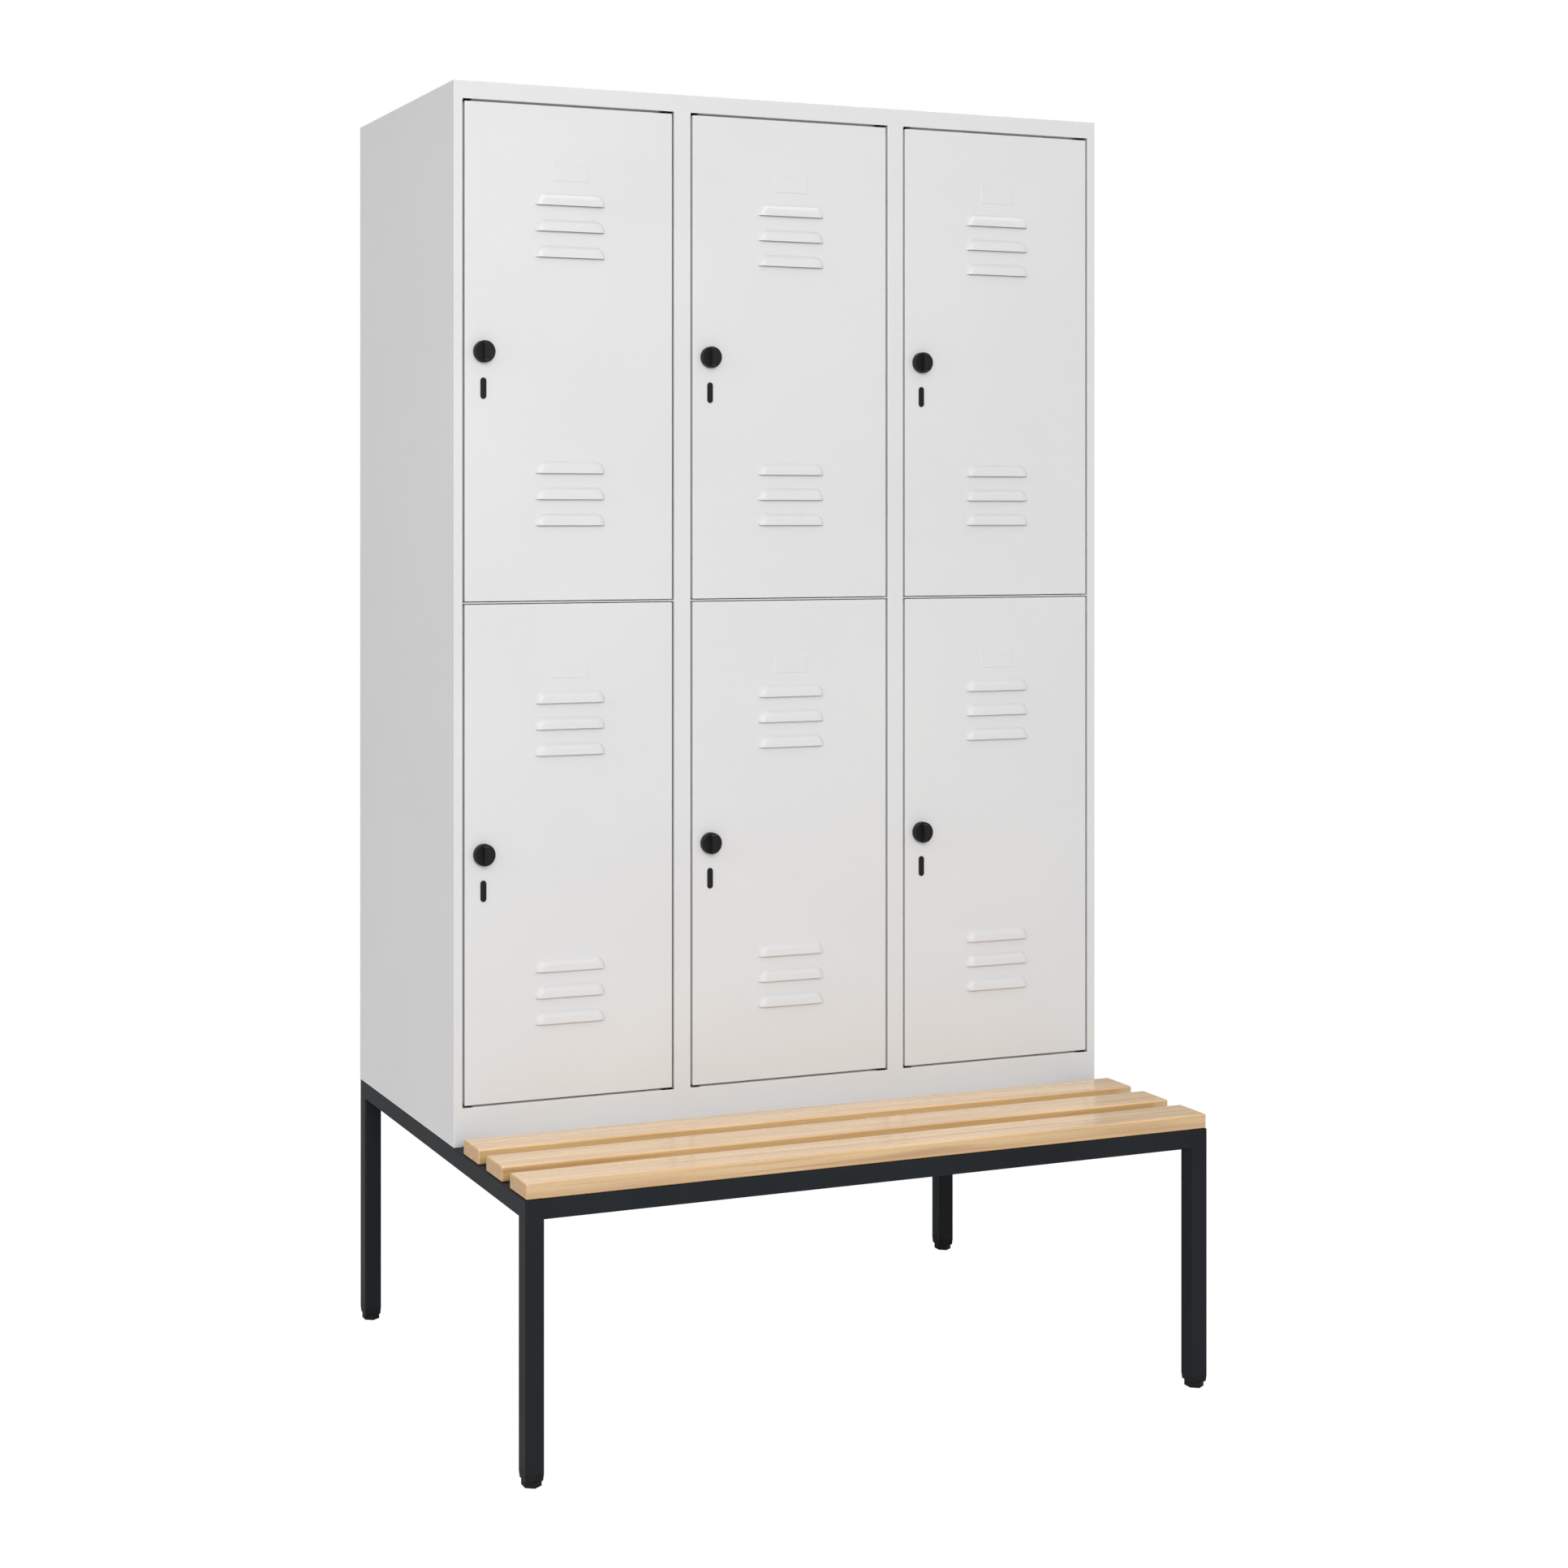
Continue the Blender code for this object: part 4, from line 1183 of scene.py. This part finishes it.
    def press_weld(self, bm: Mesh, place: Vector) -> list[Edge]:
        """Press the dimple of one spot weld into the back sheet.

        Args:
            bm: The back sheet's mesh.
            place: The middle of the dimple, on the sheet.

        Returns:
            The dimple's outer edges, which the sheet is filled up to.
        """
        made = bmesh.ops.create_circle(
            bm, cap_ends=True, segments=self.weld_steps, radius=self.weld_radius,
            matrix=Matrix.Translation(place) @ FACING_BACK)
        face = made["verts"][0].link_faces[0]
        inset(bm, [face], self.weld_radius / 3)
        shift(bm, (0.0, -self.weld_depth, 0.0), face.verts)
        return [
            edge for edge in bm.edges
            if edge.is_boundary and all(
                (vert.co - place).length < self.weld_radius + TINY for vert in edge.verts)]


@dataclass
class Louvre:
    """One louvre: a hood pressed out of the door's sheet above a slit."""

    width: float = 0.122
    height: float = 0.019
    reach: float = 0.0068
    end: float = 0.016
    shoulder: float = 0.0085
    # Below 1, it makes the shoulder rise more steeply from the sheet than a round one does
    fullness: float = 0.8
    turn_steps: int = 14
    # Share of the hood's reach that its lip is folded back under it
    hem: float = 0.6
    # Distances in from the outline at which the hood's rings of points lie
    rings: tuple[float, ...] = (
        0.0, 0.0003, 0.0008, 0.0015, 0.0024, 0.0034, 0.0045, 0.0060, 0.0100, 0.0190)

    def press(self, bm: Mesh, middle: float, sill: float) -> list[Edge]:
        """Press the hood into a mesh and leave the sheet round it open.

        Args:
            bm: The door's mesh.
            middle: The x of the louvre's middle.
            sill: The z of its slit.

        Returns:
            The open edges round the louvre, which the sheet is filled up to.
        """
        before = set(bm.verts)
        straight = self.width / 2 - self.end
        for side in (-1.0, 1.0):
            centre = (middle + side * straight, 0.0, sill)
            bmesh.ops.spin(
                bm, geom=self.column(bm, centre), cent=centre, axis=(0, 1, 0),
                angle=side * math.pi / 2, steps=self.turn_steps, use_merge=False,
                use_duplicate=False)
        rungs = [
            item for item in self.column(bm, (middle - straight, 0.0, sill))
            if isinstance(item, Edge)]
        fold(bm, rungs, (2 * straight, 0.0, 0.0))
        made = [vert for vert in bm.verts if vert not in before]
        for vert in made:
            across = vert.co.x - middle
            beyond = abs(across) - straight
            if beyond > 0:
                reach = straight + beyond * self.end / self.height
                vert.co.x = middle + math.copysign(reach, across)
        bmesh.ops.remove_doubles(bm, verts=made, dist=TINY)
        made = [vert for vert in bm.verts if vert not in before]
        rim = set()
        for vert in made:
            inset = self.inset(vert.co.x - middle, vert.co.z - sill)
            if near(inset, 0.0):
                rim.add(vert)
            else:
                vert.co.y = -self.reach * self.share(inset)
        self.fold_hem(bm, made, sill)
        slit = bm.edges.new([vert for vert in made if vert in rim and near(vert.co.z, sill)])
        return [slit] + [
            edge for edge in bm.edges
            if edge is not slit and all(vert in rim for vert in edge.verts)]

    def fold_hem(self, bm: Mesh, verts: list[Vert], sill: float) -> None:
        """Fold the hood's lip back under the hood.

        Args:
            bm: The door's mesh.
            verts: The hood's points.
            sill: The z of its slit.
        """
        hood = set(verts)
        lip = [
            edge for edge in bm.edges
            if all(vert in hood and near(vert.co.z, sill) for vert in edge.verts)]
        made = verts_in(bmesh.ops.extrude_edge_only(bm, edges=lip)["geom"])
        ends = {
            vert: other for vert in made for edge in vert.link_edges
            if (other := edge.other_vert(vert)) in hood and near(other.co.y, 0.0)}
        for vert in made:
            vert.co.y *= 1.0 - self.hem
        bmesh.ops.weld_verts(bm, targetmap=ends)

    def column(self, bm: Mesh, foot: Point) -> list[Vert | Edge]:
        """Draw one upright line of the hood's points.

        Args:
            bm: The door's mesh.
            foot: Where the line ends, on the slit.

        Returns:
            The line's points and edges, from the hood's outline down.
        """
        verts = [
            bm.verts.new((foot[0], foot[1], foot[2] + self.height - inset))
            for inset in self.rings]
        return verts + [bm.edges.new(pair) for pair in zip(verts, verts[1:])]

    def inset(self, across: float, rise: float) -> float:
        """How far inside the outline a point lies.

        Args:
            across: The point's distance from the louvre's middle.
            rise: Its height above the slit.

        Returns:
            The distance to the outline.
        """
        beyond = max(abs(across) - (self.width / 2 - self.end), 0.0) / self.end
        level = rise / self.height
        radius = math.hypot(beyond, level)
        if radius == 0.0:
            return self.end
        scale = (self.end * beyond ** 2 + self.height * level ** 2) / radius ** 2
        return (1.0 - radius) * scale

    def share(self, inset: float) -> float:
        """The share of the full reach that a point this far inside the outline stands out."""
        depth = min(max(inset / self.shoulder, 0.0), 1.0)
        return math.sin(math.pi / 2 * depth) ** self.fullness


@dataclass
class LabelHolder:
    """The pocket for a name card, pressed out of the door's sheet."""

    width: float = 0.0635
    height: float = 0.0295
    bottom: float = 0.678
    relief: float = 0.0008
    ear: float = 0.009
    dip: float = 0.004
    wall: float = 0.0009

    def press(self, bm: Mesh, middle: float) -> list[Edge]:
        """Press the pocket into a mesh and leave the sheet round it open.

        Args:
            bm: The door's mesh.
            middle: The x of the pocket's middle.

        Returns:
            The open edges round the pocket.
        """
        before = set(bm.faces)
        half = self.width / 2
        top = self.bottom + self.height
        ruled_sheet(
            bm,
            [middle - half, middle - half + self.ear, middle + half - self.ear, middle + half],
            [self.bottom, top - self.dip, top])
        notch = [
            face for face in bm.faces
            if face not in before and near(face.calc_center_median().x, middle)
            and face.calc_center_median().z > top - self.dip]
        bmesh.ops.delete(bm, geom=notch, context="FACES")
        made = [face for face in bm.faces if face not in before]
        for vert in {vert for face in made for vert in face.verts}:
            if near(vert.co.z, top - self.dip) and abs(vert.co.x - middle) < half - TINY:
                vert.co.x += math.copysign(self.dip, middle - vert.co.x)
        bm.normal_update()
        inset(bm, made, self.wall, self.relief)
        return [
            edge for edge in bm.edges
            if edge.is_boundary and edge.link_faces[0] not in before]


@dataclass
class LockerDoor:
    """A door pan of folded sheet with louvres, a label holder and hinge pins."""

    handover: Handover
    sizes: CabinetSizes
    origin: Vector
    width: float = 0.3627
    height: float = 0.799
    depth: float = 0.014
    lip: float = 0.010
    side_gap: float = 0.00365
    fold_radius: float = 0.0014
    margin: float = 0.006
    band: float = 0.003
    levels: dict[Tier, float] = field(
        default_factory=lambda: {Tier.LOWER: 0.0646, Tier.UPPER: 0.8684})
    sills: tuple[float, ...] = (0.1217, 0.1638, 0.2059, 0.5545, 0.5966, 0.6387)
    louvre: Louvre = field(default_factory=Louvre)
    label: LabelHolder = field(default_factory=LabelHolder)
    pivot_x: float = 0.35843
    pin_radius: float = 0.003
    pin_point: float = 0.0006
    pin_length: float = 0.0095
    collar_radius: float = 0.0048
    collar_height: float = 0.005
    pin_steps: int = 24

    def build(self) -> None:
        """Model one door and hang a copy in each opening."""
        pan = self.fold_pan()
        for tier, number in COMPARTMENTS:
            start, _ = self.sizes.opening_span(number - 1)
            bm = pan.copy()
            shift(bm, self.origin + Vector((start + self.side_gap, 0.0, self.levels[tier])))
            suffix = f"{tier.value}_{number}"
            body = f"{tier.value}_door_{number}"
            self.handover.piece(
                bm, f"door_leaf_{suffix}", Slot.CABINET_PAINT, (f"door_{suffix}",), body,
                self.sizes.sheet)
            self.turn_pins(suffix, body, self.origin.x + start + self.pivot_x)
        pan.free()

    def turn_pins(self, suffix: str, body: str, pivot_x: float) -> None:
        """Turn the two hinge pins of one door, each with the collar that holds it.

        Args:
            suffix: The door's tier and number, as names end with them.
            body: The door's body.
            pivot_x: The x of its hinge.
        """
        low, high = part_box(f"door_{suffix}")
        collar_end = self.pin_length + self.collar_height
        profile = [
            (0.0, 0.0), (self.pin_radius - self.pin_point, 0.0),
            (self.pin_radius, self.pin_point), (self.pin_radius, self.pin_length),
            (self.collar_radius, self.pin_length), (self.collar_radius, collar_end),
            (0.0, collar_end)]
        bm = bmesh.new()
        for tip, inwards in ((low.z, 1.0), (high.z, -1.0)):
            place = Matrix.Translation((pivot_x, self.origin.y + self.depth / 2, tip))
            lathe(bm, profile, self.pin_steps, place @ Matrix.Diagonal((1.0, 1.0, inwards, 1.0)))
        bmesh.ops.recalc_face_normals(bm, faces=bm.faces)
        # The pins are moulded black; their black also serves as painted shade at the ends of the
        # door gaps.
        self.handover.piece(bm, f"hinge_pins_{suffix}", Slot.BLACK_PLASTIC, body=body)

    def fold_pan(self) -> Mesh:
        """Model the door from its left bottom corner.

        Returns:
            The sheet, still without its thickness.
        """
        bm = bmesh.new()
        ruled_sheet(bm, [0.0, self.width], [0.0, self.height])
        margin = inset(bm, bm.faces[:], self.margin)
        inner = [face for face in bm.faces if face not in margin]
        bmesh.ops.delete(bm, geom=inner, context="FACES_ONLY")
        skin = edges_at(bm, lambda point: not self.on_border(point))
        for sill in self.sills:
            skin += self.lay_band(bm, self.louvre.press(bm, self.width / 2, sill))
        skin += self.lay_band(bm, self.label.press(bm, self.width / 2))
        fill_sheet(bm, skin, -1.0)
        returned = fold(bm, edges_at(bm, self.on_border), (0.0, self.depth, 0.0))
        lips = fold(bm, returned, (0.0, 0.0, 0.0))
        bmesh.ops.scale(
            bm, verts=list({vert for edge in lips for vert in edge.verts}),
            vec=(1 - 2 * self.lip / self.width, 1.0, 1 - 2 * self.lip / self.height),
            space=Matrix.Translation((-self.width / 2, 0.0, -self.height / 2)))
        turn_sheet(bm, -1.0)
        border = [
            edge for edge in corner_edges(bm)
            if all(self.on_border(vert.co) for vert in edge.verts)]
        round_edges(bm, border, self.fold_radius)
        return bm

    def lay_band(self, bm: Mesh, rim: list[Edge]) -> list[Edge]:
        """Lay a narrow flat band round a pressed shape, so that the skin beyond stays flat.

        Args:
            bm: The door's mesh.
            rim: The closed ring of edges round the shape.

        Returns:
            The band's outer ring of edges.
        """
        outer = fold(bm, rim, (0.0, 0.0, 0.0))
        verts = list({vert for edge in outer for vert in edge.verts})
        across = [vert.co.x for vert in verts]
        up = [vert.co.z for vert in verts]
        middle = Vector(((min(across) + max(across)) / 2, 0.0, (min(up) + max(up)) / 2))
        bmesh.ops.scale(
            bm, verts=verts,
            vec=(
                1 + 2 * self.band / (max(across) - min(across)), 1.0,
                1 + 2 * self.band / (max(up) - min(up))),
            space=Matrix.Translation(-middle))
        return outer

    def on_border(self, point: Vector) -> bool:
        """Whether a point lies on the door's outer border."""
        return (
            near(point.x, 0.0) or near(point.x, self.width)
            or near(point.z, 0.0) or near(point.z, self.height))


@dataclass
class Lock:
    """A turning knob with its cam, and the plug in the slot below it."""

    handover: Handover
    front: float
    radius: float = 0.01765
    drum: float = 0.0105
    reach: float = 0.020
    rounding: float = 0.0015
    rounding_steps: int = 6
    seat: float = 0.0003
    ridge_width: float = 0.0092
    ridge_radius: float = 0.0162
    ridge_draft: float = 0.0005
    dish: float = 0.0006
    # Share of the drum's radius that its dished middle takes up
    dish_share: float = 0.6
    spindle: float = 0.005
    cam_gap: float = 0.0156
    cam_sheet: float = 0.002
    cam_half: float = 0.010
    cam_reach: float = 0.028
    cam_corner: float = 0.004
    nut_radius: float = 0.009
    nut_height: float = 0.0045
    plug_width: float = 0.0101
    plug_height: float = 0.0343
    plug_proud: float = 0.0015
    plug_edge: float = 0.0006
    plug_rim: float = 0.0017
    plug_well: float = 0.0004
    plug_stem: float = 0.004
    steps: int = 64
    crisp: float = 32.0

    def build(self) -> None:
        """Model a knob, a cam and a plug, and fit a copy of each to every door."""
        knob, cam, plug = self.mould_knob(), self.stamp_cam(), self.mould_plug()
        for tier, number in COMPARTMENTS:
            suffix = f"{tier.value}_{number}"
            lock = f"{tier.value}_lock_{number}"
            door = f"{tier.value}_door_{number}"
            for shape, name, slot, body, node, seat in (
                    (knob, "turn_knob", Slot.BLACK_PLASTIC, lock, "lock_knob", "lock_knob"),
                    (cam, "cam", Slot.ZINC_STEEL, lock, "lock_cam", "lock_knob"),
                    (plug, "plug", Slot.BLACK_PLASTIC, door, "slot_plug", "slot_plug")):
                low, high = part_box(f"{seat}_{suffix}")
                bm = shape.copy()
                shift(bm, ((low.x + high.x) / 2, self.front, (low.z + high.z) / 2))
                self.handover.piece(
                    bm, f"{name}_{suffix}", slot, (f"{node}_{suffix}",), body,
                    sharp=self.crisp)
        for shape in (knob, cam, plug):
            shape.free()

    def mould_knob(self) -> Mesh:
        """Model the knob: a round drum with a grip ridge across its face.

        Returns:
            The knob, with its front towards -Y.
        """
        bm = bmesh.new()
        self.turn_drum(bm)
        before = set(bm.verts)
        bmesh.ops.create_circle(
            bm, cap_ends=True, segments=4 * self.steps, radius=self.ridge_radius)
        for side in (-1.0, 1.0):
            fresh = [vert for vert in bm.verts if vert not in before]
            geom = {item for vert in fresh for item in (vert, *vert.link_edges, *vert.link_faces)}
            bmesh.ops.bisect_plane(
                bm, geom=list(geom), dist=TINY, plane_co=(side * self.ridge_width / 2, 0.0, 0.0),
                plane_no=(side, 0.0, 0.0), clear_outer=True)
        foot = [vert for vert in bm.verts if vert not in before]
        shift(bm, (0.0, 0.0, self.drum / 2), foot)
        top = raise_face(bm, foot[0].link_faces[0], self.reach - self.drum / 2)
        narrow = 1.0 - 2 * self.ridge_draft / self.ridge_width
        bmesh.ops.scale(bm, vec=(narrow, narrow, 1.0), verts=top)
        round_edges(bm, edges_on(bm, Z, self.reach), self.rounding, segments=5)
        ridge = [face for face in bm.faces if not before.intersection(face.verts)]
        bmesh.ops.recalc_face_normals(bm, faces=ridge)
        bmesh.ops.transform(bm, matrix=FACING_FRONT, verts=bm.verts)
        return bm

    def turn_drum(self, bm: Mesh) -> None:
        """Turn the knob's round drum with its spindle, along Z.

        Args:
            bm: The knob's mesh.
        """
        edge = []
        for step in range(self.rounding_steps + 1):
            turn = math.pi / 2 * step / self.rounding_steps
            edge.append((
                self.radius - self.rounding + self.rounding * math.cos(turn),
                self.drum - self.rounding + self.rounding * math.sin(turn)))
        profile = [
            (0.0, -self.cam_gap), (self.spindle, -self.cam_gap), (self.spindle, self.seat),
            (self.radius - self.seat, self.seat), (self.radius, 2 * self.seat), *edge,
            (self.radius * self.dish_share, self.drum - self.dish), (0.0, self.drum - self.dish)]
        lathe(bm, profile, self.steps)

    def stamp_cam(self) -> Mesh:
        """Model the locking cam, pointing up, with its nut.

        Returns:
            The cam, behind the seat of its knob.
        """
        bm = bmesh.new()
        back = self.cam_gap + self.cam_sheet
        add_box(
            bm, (-self.cam_half, self.cam_gap, -self.cam_half),
            (self.cam_half, back, self.cam_reach))
        round_edges(bm, long_edges(bm, Y, self.cam_sheet / 2), self.cam_corner, segments=6)
        round_edges(bm, corner_edges(bm, degrees=60.0), self.seat, segments=2)
        washer = [
            (0.0, 0.0), (self.nut_radius, 0.0), (self.nut_radius, 2 * self.seat),
            (0.0, 2 * self.seat)]
        lathe(bm, washer, self.steps // 2, Matrix.Translation((0.0, back, 0.0)) @ FACING_BACK)
        middle = Matrix.Translation((0.0, back + self.nut_height / 2, 0.0))
        nut = bmesh.ops.create_cone(
            bm, cap_ends=True, segments=6, radius1=self.nut_radius - self.seat,
            radius2=self.nut_radius - self.seat, depth=self.nut_height,
            matrix=middle @ FACING_BACK)["verts"]
        sides = {edge for vert in nut for edge in vert.link_edges}
        round_edges(bm, sides, self.seat, segments=2)
        return bm

    def mould_plug(self) -> Mesh:
        """Model the plug: an oblong rim round a shallow well, on a stem.

        Returns:
            The plug, with its front towards -Y.
        """
        bm = bmesh.new()
        rim = self.oblong(bm, self.plug_width, self.plug_height)
        shift(bm, (0.0, 0.0, self.seat), rim.verts)
        raise_face(bm, rim, self.plug_proud - self.seat)
        round_edges(bm, edges_on(bm, Z, self.plug_proud), self.plug_edge, segments=4)
        level = [face for face in bm.faces if face.normal.z > 0.9]
        lid = max(level, key=lambda face: face.calc_area())
        inset(bm, [lid], self.plug_rim - self.plug_edge)
        inset(bm, [lid], self.plug_well / 2, -self.plug_well)
        stem = self.oblong(
            bm, self.plug_width - 2 * self.plug_edge, self.plug_height - 2 * self.plug_edge)
        shift(bm, (0.0, 0.0, 2 * self.seat), stem.verts)
        raise_face(bm, stem, -self.plug_stem - 2 * self.seat)
        bmesh.ops.recalc_face_normals(bm, faces=bm.faces)
        bmesh.ops.transform(bm, matrix=FACING_FRONT, verts=bm.verts)
        return bm

    def oblong(self, bm: Mesh, width: float, height: float) -> Face:
        """Draw a flat oblong with full round ends, along Y.

        Args:
            bm: The mesh that gets it.
            width: Its width, and the diameter of its ends.
            height: Its whole length.

        Returns:
            The oblong's face.
        """
        verts = bmesh.ops.create_circle(
            bm, cap_ends=True, segments=self.steps // 2, radius=width / 2)["verts"]
        level = [vert for vert in verts if near(vert.co.y, 0.0)]
        for vert in verts:
            if vert not in level:
                vert.co.y += math.copysign((height - width) / 2, vert.co.y)
        for vert in level:
            vert.co.y = (height - width) / 2
            edge = next(edge for edge in vert.link_edges if edge.other_vert(vert).co.y < 0)
            _, lower = bmesh.utils.edge_split(edge, vert, 0.5)
            lower.co = (vert.co.x, -vert.co.y, vert.co.z)
        bm.normal_update()
        return verts[0].link_faces[0]


@dataclass
class CoatRail:
    """A plated hanging tube with a round flange at each end."""

    handover: Handover
    tube: float = 0.008
    flange: float = 0.014
    flange_sheet: float = 0.002
    edge: float = 0.0004
    steps: int = 40
    crisp: float = 50.0

    def build(self) -> None:
        """Turn the rails and hang one in each compartment."""
        for tier, number in COMPARTMENTS:
            node = f"coat_rail_{tier.value}_{number}"
            low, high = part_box(node)
            middle = (low + high) / 2
            bm = bmesh.new()
            lathe(
                bm, self.profile(high.x - low.x), self.steps,
                Matrix.Translation((low.x, middle.y, middle.z)) @ LYING_ALONG_X)
            self.handover.piece(
                bm, f"hanging_rail_{tier.value}_{number}", Slot.ZINC_STEEL, (node,),
                sharp=self.crisp)

    def profile(self, length: float) -> list[tuple[float, float]]:
        """Draw half of the rail's outline.

        Args:
            length: The rail's length with its flanges.

        Returns:
            Points of (radius, distance from the left end).
        """
        half = [
            (0.0, 0.0), (self.flange, 0.0), (self.flange, self.flange_sheet - self.edge),
            (self.flange - self.edge, self.flange_sheet),
            (self.tube + 2 * self.edge, self.flange_sheet),
            (self.tube, self.flange_sheet + 2 * self.edge)]
        return half + [(radius, length - along) for radius, along in reversed(half)]


@dataclass
class TubeFrame:
    """The welded frame of square tube, with the plastic ends of its legs."""

    handover: Handover
    wall: float = 0.002
    corner: float = 0.0025
    corner_steps: int = 5
    cap_height: float = 0.0102
    cap_taper: float = 0.001
    cap_edge: float = 0.0009
    spigot: float = 0.0254
    crisp: float = 50.0
    # How far each end runs into the rounded corner of its leg, where the weld is ground
    # flush, as a share of the corner's radius
    flush: dict[str, tuple[float, float]] = field(default_factory=lambda: {
        "front_beam": (1.0, 0.0), "side_rail_left": (1.0, 1.0)})

    def build(self) -> None:
        """Model each leg's end and each length of tube."""
        for leg in LEGS:
            self.mould_cap(f"leg_cap_{leg}")
        for node in (
                "side_rail_left", "side_rail_right", "front_beam", "middle_beam", "back_beam",
                *(f"leg_{leg}" for leg in LEGS)):
            self.draw_tube(node)

    def draw_tube(self, node: str) -> None:
        """Model one length of tube, open at its ends.

        Args:
            node: The CAD node that it stands for.
        """
        low, high = (place.copy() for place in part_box(node))
        size = high - low
        along = max((X, Y, Z), key=lambda axis: size[axis])
        start, stop = self.flush.get(node, (0.0, 0.0))
        low[along] -= start * self.corner
        high[along] += stop * self.corner
        bm = bmesh.new()
        add_box(bm, low, high)
        ends = [face for face in bm.faces if abs(face.normal[along]) > 0.5]
        bmesh.ops.delete(bm, geom=ends, context="FACES_ONLY")
        round_edges(bm, long_edges(bm, along, size[along] / 2), self.corner, self.corner_steps)
        self.handover.piece(
            bm, f"tube_{node}", Slot.FRAME_PAINT, (node,), sheet=self.wall, sharp=self.crisp)

    def mould_cap(self, node: str) -> None:
        """Model the end of one leg: a tapered collar and the spigot inside the tube.

        Args:
            node: The CAD node that it stands for.
        """
        low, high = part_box(node)
        middle = (low + high) / 2
        rim = low.z + self.cap_height
        bm = bmesh.new()
        add_box(bm, low, (high.x, high.y, rim))
        round_edges(bm, long_edges(bm, Z, TINY), self.corner, self.corner_steps)
        narrow = 1.0 - 2 * self.cap_taper / (high.x - low.x)
        foot = [vert for vert in bm.verts if vert.co.z < rim - TINY]
        bmesh.ops.scale(
            bm, vec=(narrow, narrow, 1.0), verts=foot, space=Matrix.Translation(-middle))
        round_edges(bm, edges_on(bm, Z, low.z), self.cap_edge, segments=4)
        half = self.spigot / 2
        add_box(
            bm, (middle.x - half, middle.y - half, rim - self.cap_edge),
            (middle.x + half, middle.y + half, high.z), self.cap_edge)
        self.handover.piece(bm, f"end_{node}", Slot.BLACK_PLASTIC, (node,))


@dataclass
class ScrewFoot:
    """A hexagonal glide on a threaded stem, which levels the locker."""

    handover: Handover
    radius: float = 0.0156
    height: float = 0.0092
    chamfer: float = 0.0012
    shoulder: float = 0.0005
    stem: float = 0.004
    thread: float = 0.0005
    pitch: float = 0.00125
    steps: int = 32
    crisp: float = 30.0

    def build(self) -> None:
        """Model a foot under each leg."""
        for leg in LEGS:
            self.mould_foot(f"foot_{leg}", f"{leg}_foot")

    def mould_foot(self, node: str, body: str) -> None:
        """Model one foot.

        Args:
            node: The CAD node that it stands for.
            body: The body that it screws out with.
        """
        low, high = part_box(node)
        middle = (low + high) / 2
        bm = bmesh.new()
        bmesh.ops.create_cone(
            bm, cap_ends=True, segments=6, radius1=self.radius, radius2=self.radius,
            depth=self.height, matrix=Matrix.Translation((0.0, 0.0, self.height / 2)))
        round_edges(bm, edges_on(bm, Z, 0.0), self.chamfer)
        round_edges(bm, edges_on(bm, Z, self.height), self.shoulder, segments=2)
        round_edges(bm, long_edges(bm, Z, self.height / 2), self.shoulder)
        profile = [(0.0, self.height / 2), (self.stem, self.height / 2)]
        level = self.height
        while level + self.pitch < high.z - self.chamfer:
            profile += [(self.stem, level), (self.stem - self.thread, level + self.pitch / 2)]
            level += self.pitch
        profile += [(self.stem - self.thread, high.z), (0.0, high.z)]
        lathe(bm, profile, self.steps)
        shift(bm, (middle.x, middle.y, low.z))
        self.handover.piece(
            bm, f"glide_{node}", Slot.BLACK_PLASTIC, (node,), body, sharp=self.crisp)


@dataclass
class Bench:
    """The seat: beech slats with rounded edges."""

    handover: Handover
    slats: int = 3
    rounding: float = 0.003
    rounding_steps: int = 5
    crisp: float = 50.0

    def build(self) -> None:
        """Plane the slats and lay them on the frame."""
        for number in range(1, self.slats + 1):
            node = f"bench_slat_{number}"
            bm = bmesh.new()
            add_box(bm, *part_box(node), self.rounding, self.rounding_steps)
            self.handover.piece(
                bm, f"seat_slat_{number}", Slot.BEECH, (node,), sharp=self.crisp)


def main() -> None:
    """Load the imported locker, model what dresses it and set up the studio."""
    logging.basicConfig(level=logging.INFO, format="%(name)s: %(message)s")
    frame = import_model()
    finishes = make_finishes()
    dress_nodes(frame["nodes"], finishes)
    Studio().build()
    handover = Handover(finishes)
    sizes = CabinetSizes()
    low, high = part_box("back_panel")
    origin = Vector((low.x, high.y - sizes.depth, low.z))
    Carcass(handover, sizes, origin).build()
    LockerDoor(handover, sizes, origin).build()
    Lock(handover, origin.y).build()
    CoatRail(handover).build()
    TubeFrame(handover).build()
    ScrewFoot(handover).build()
    Bench(handover).build()


if __name__ == "__main__":
    main()
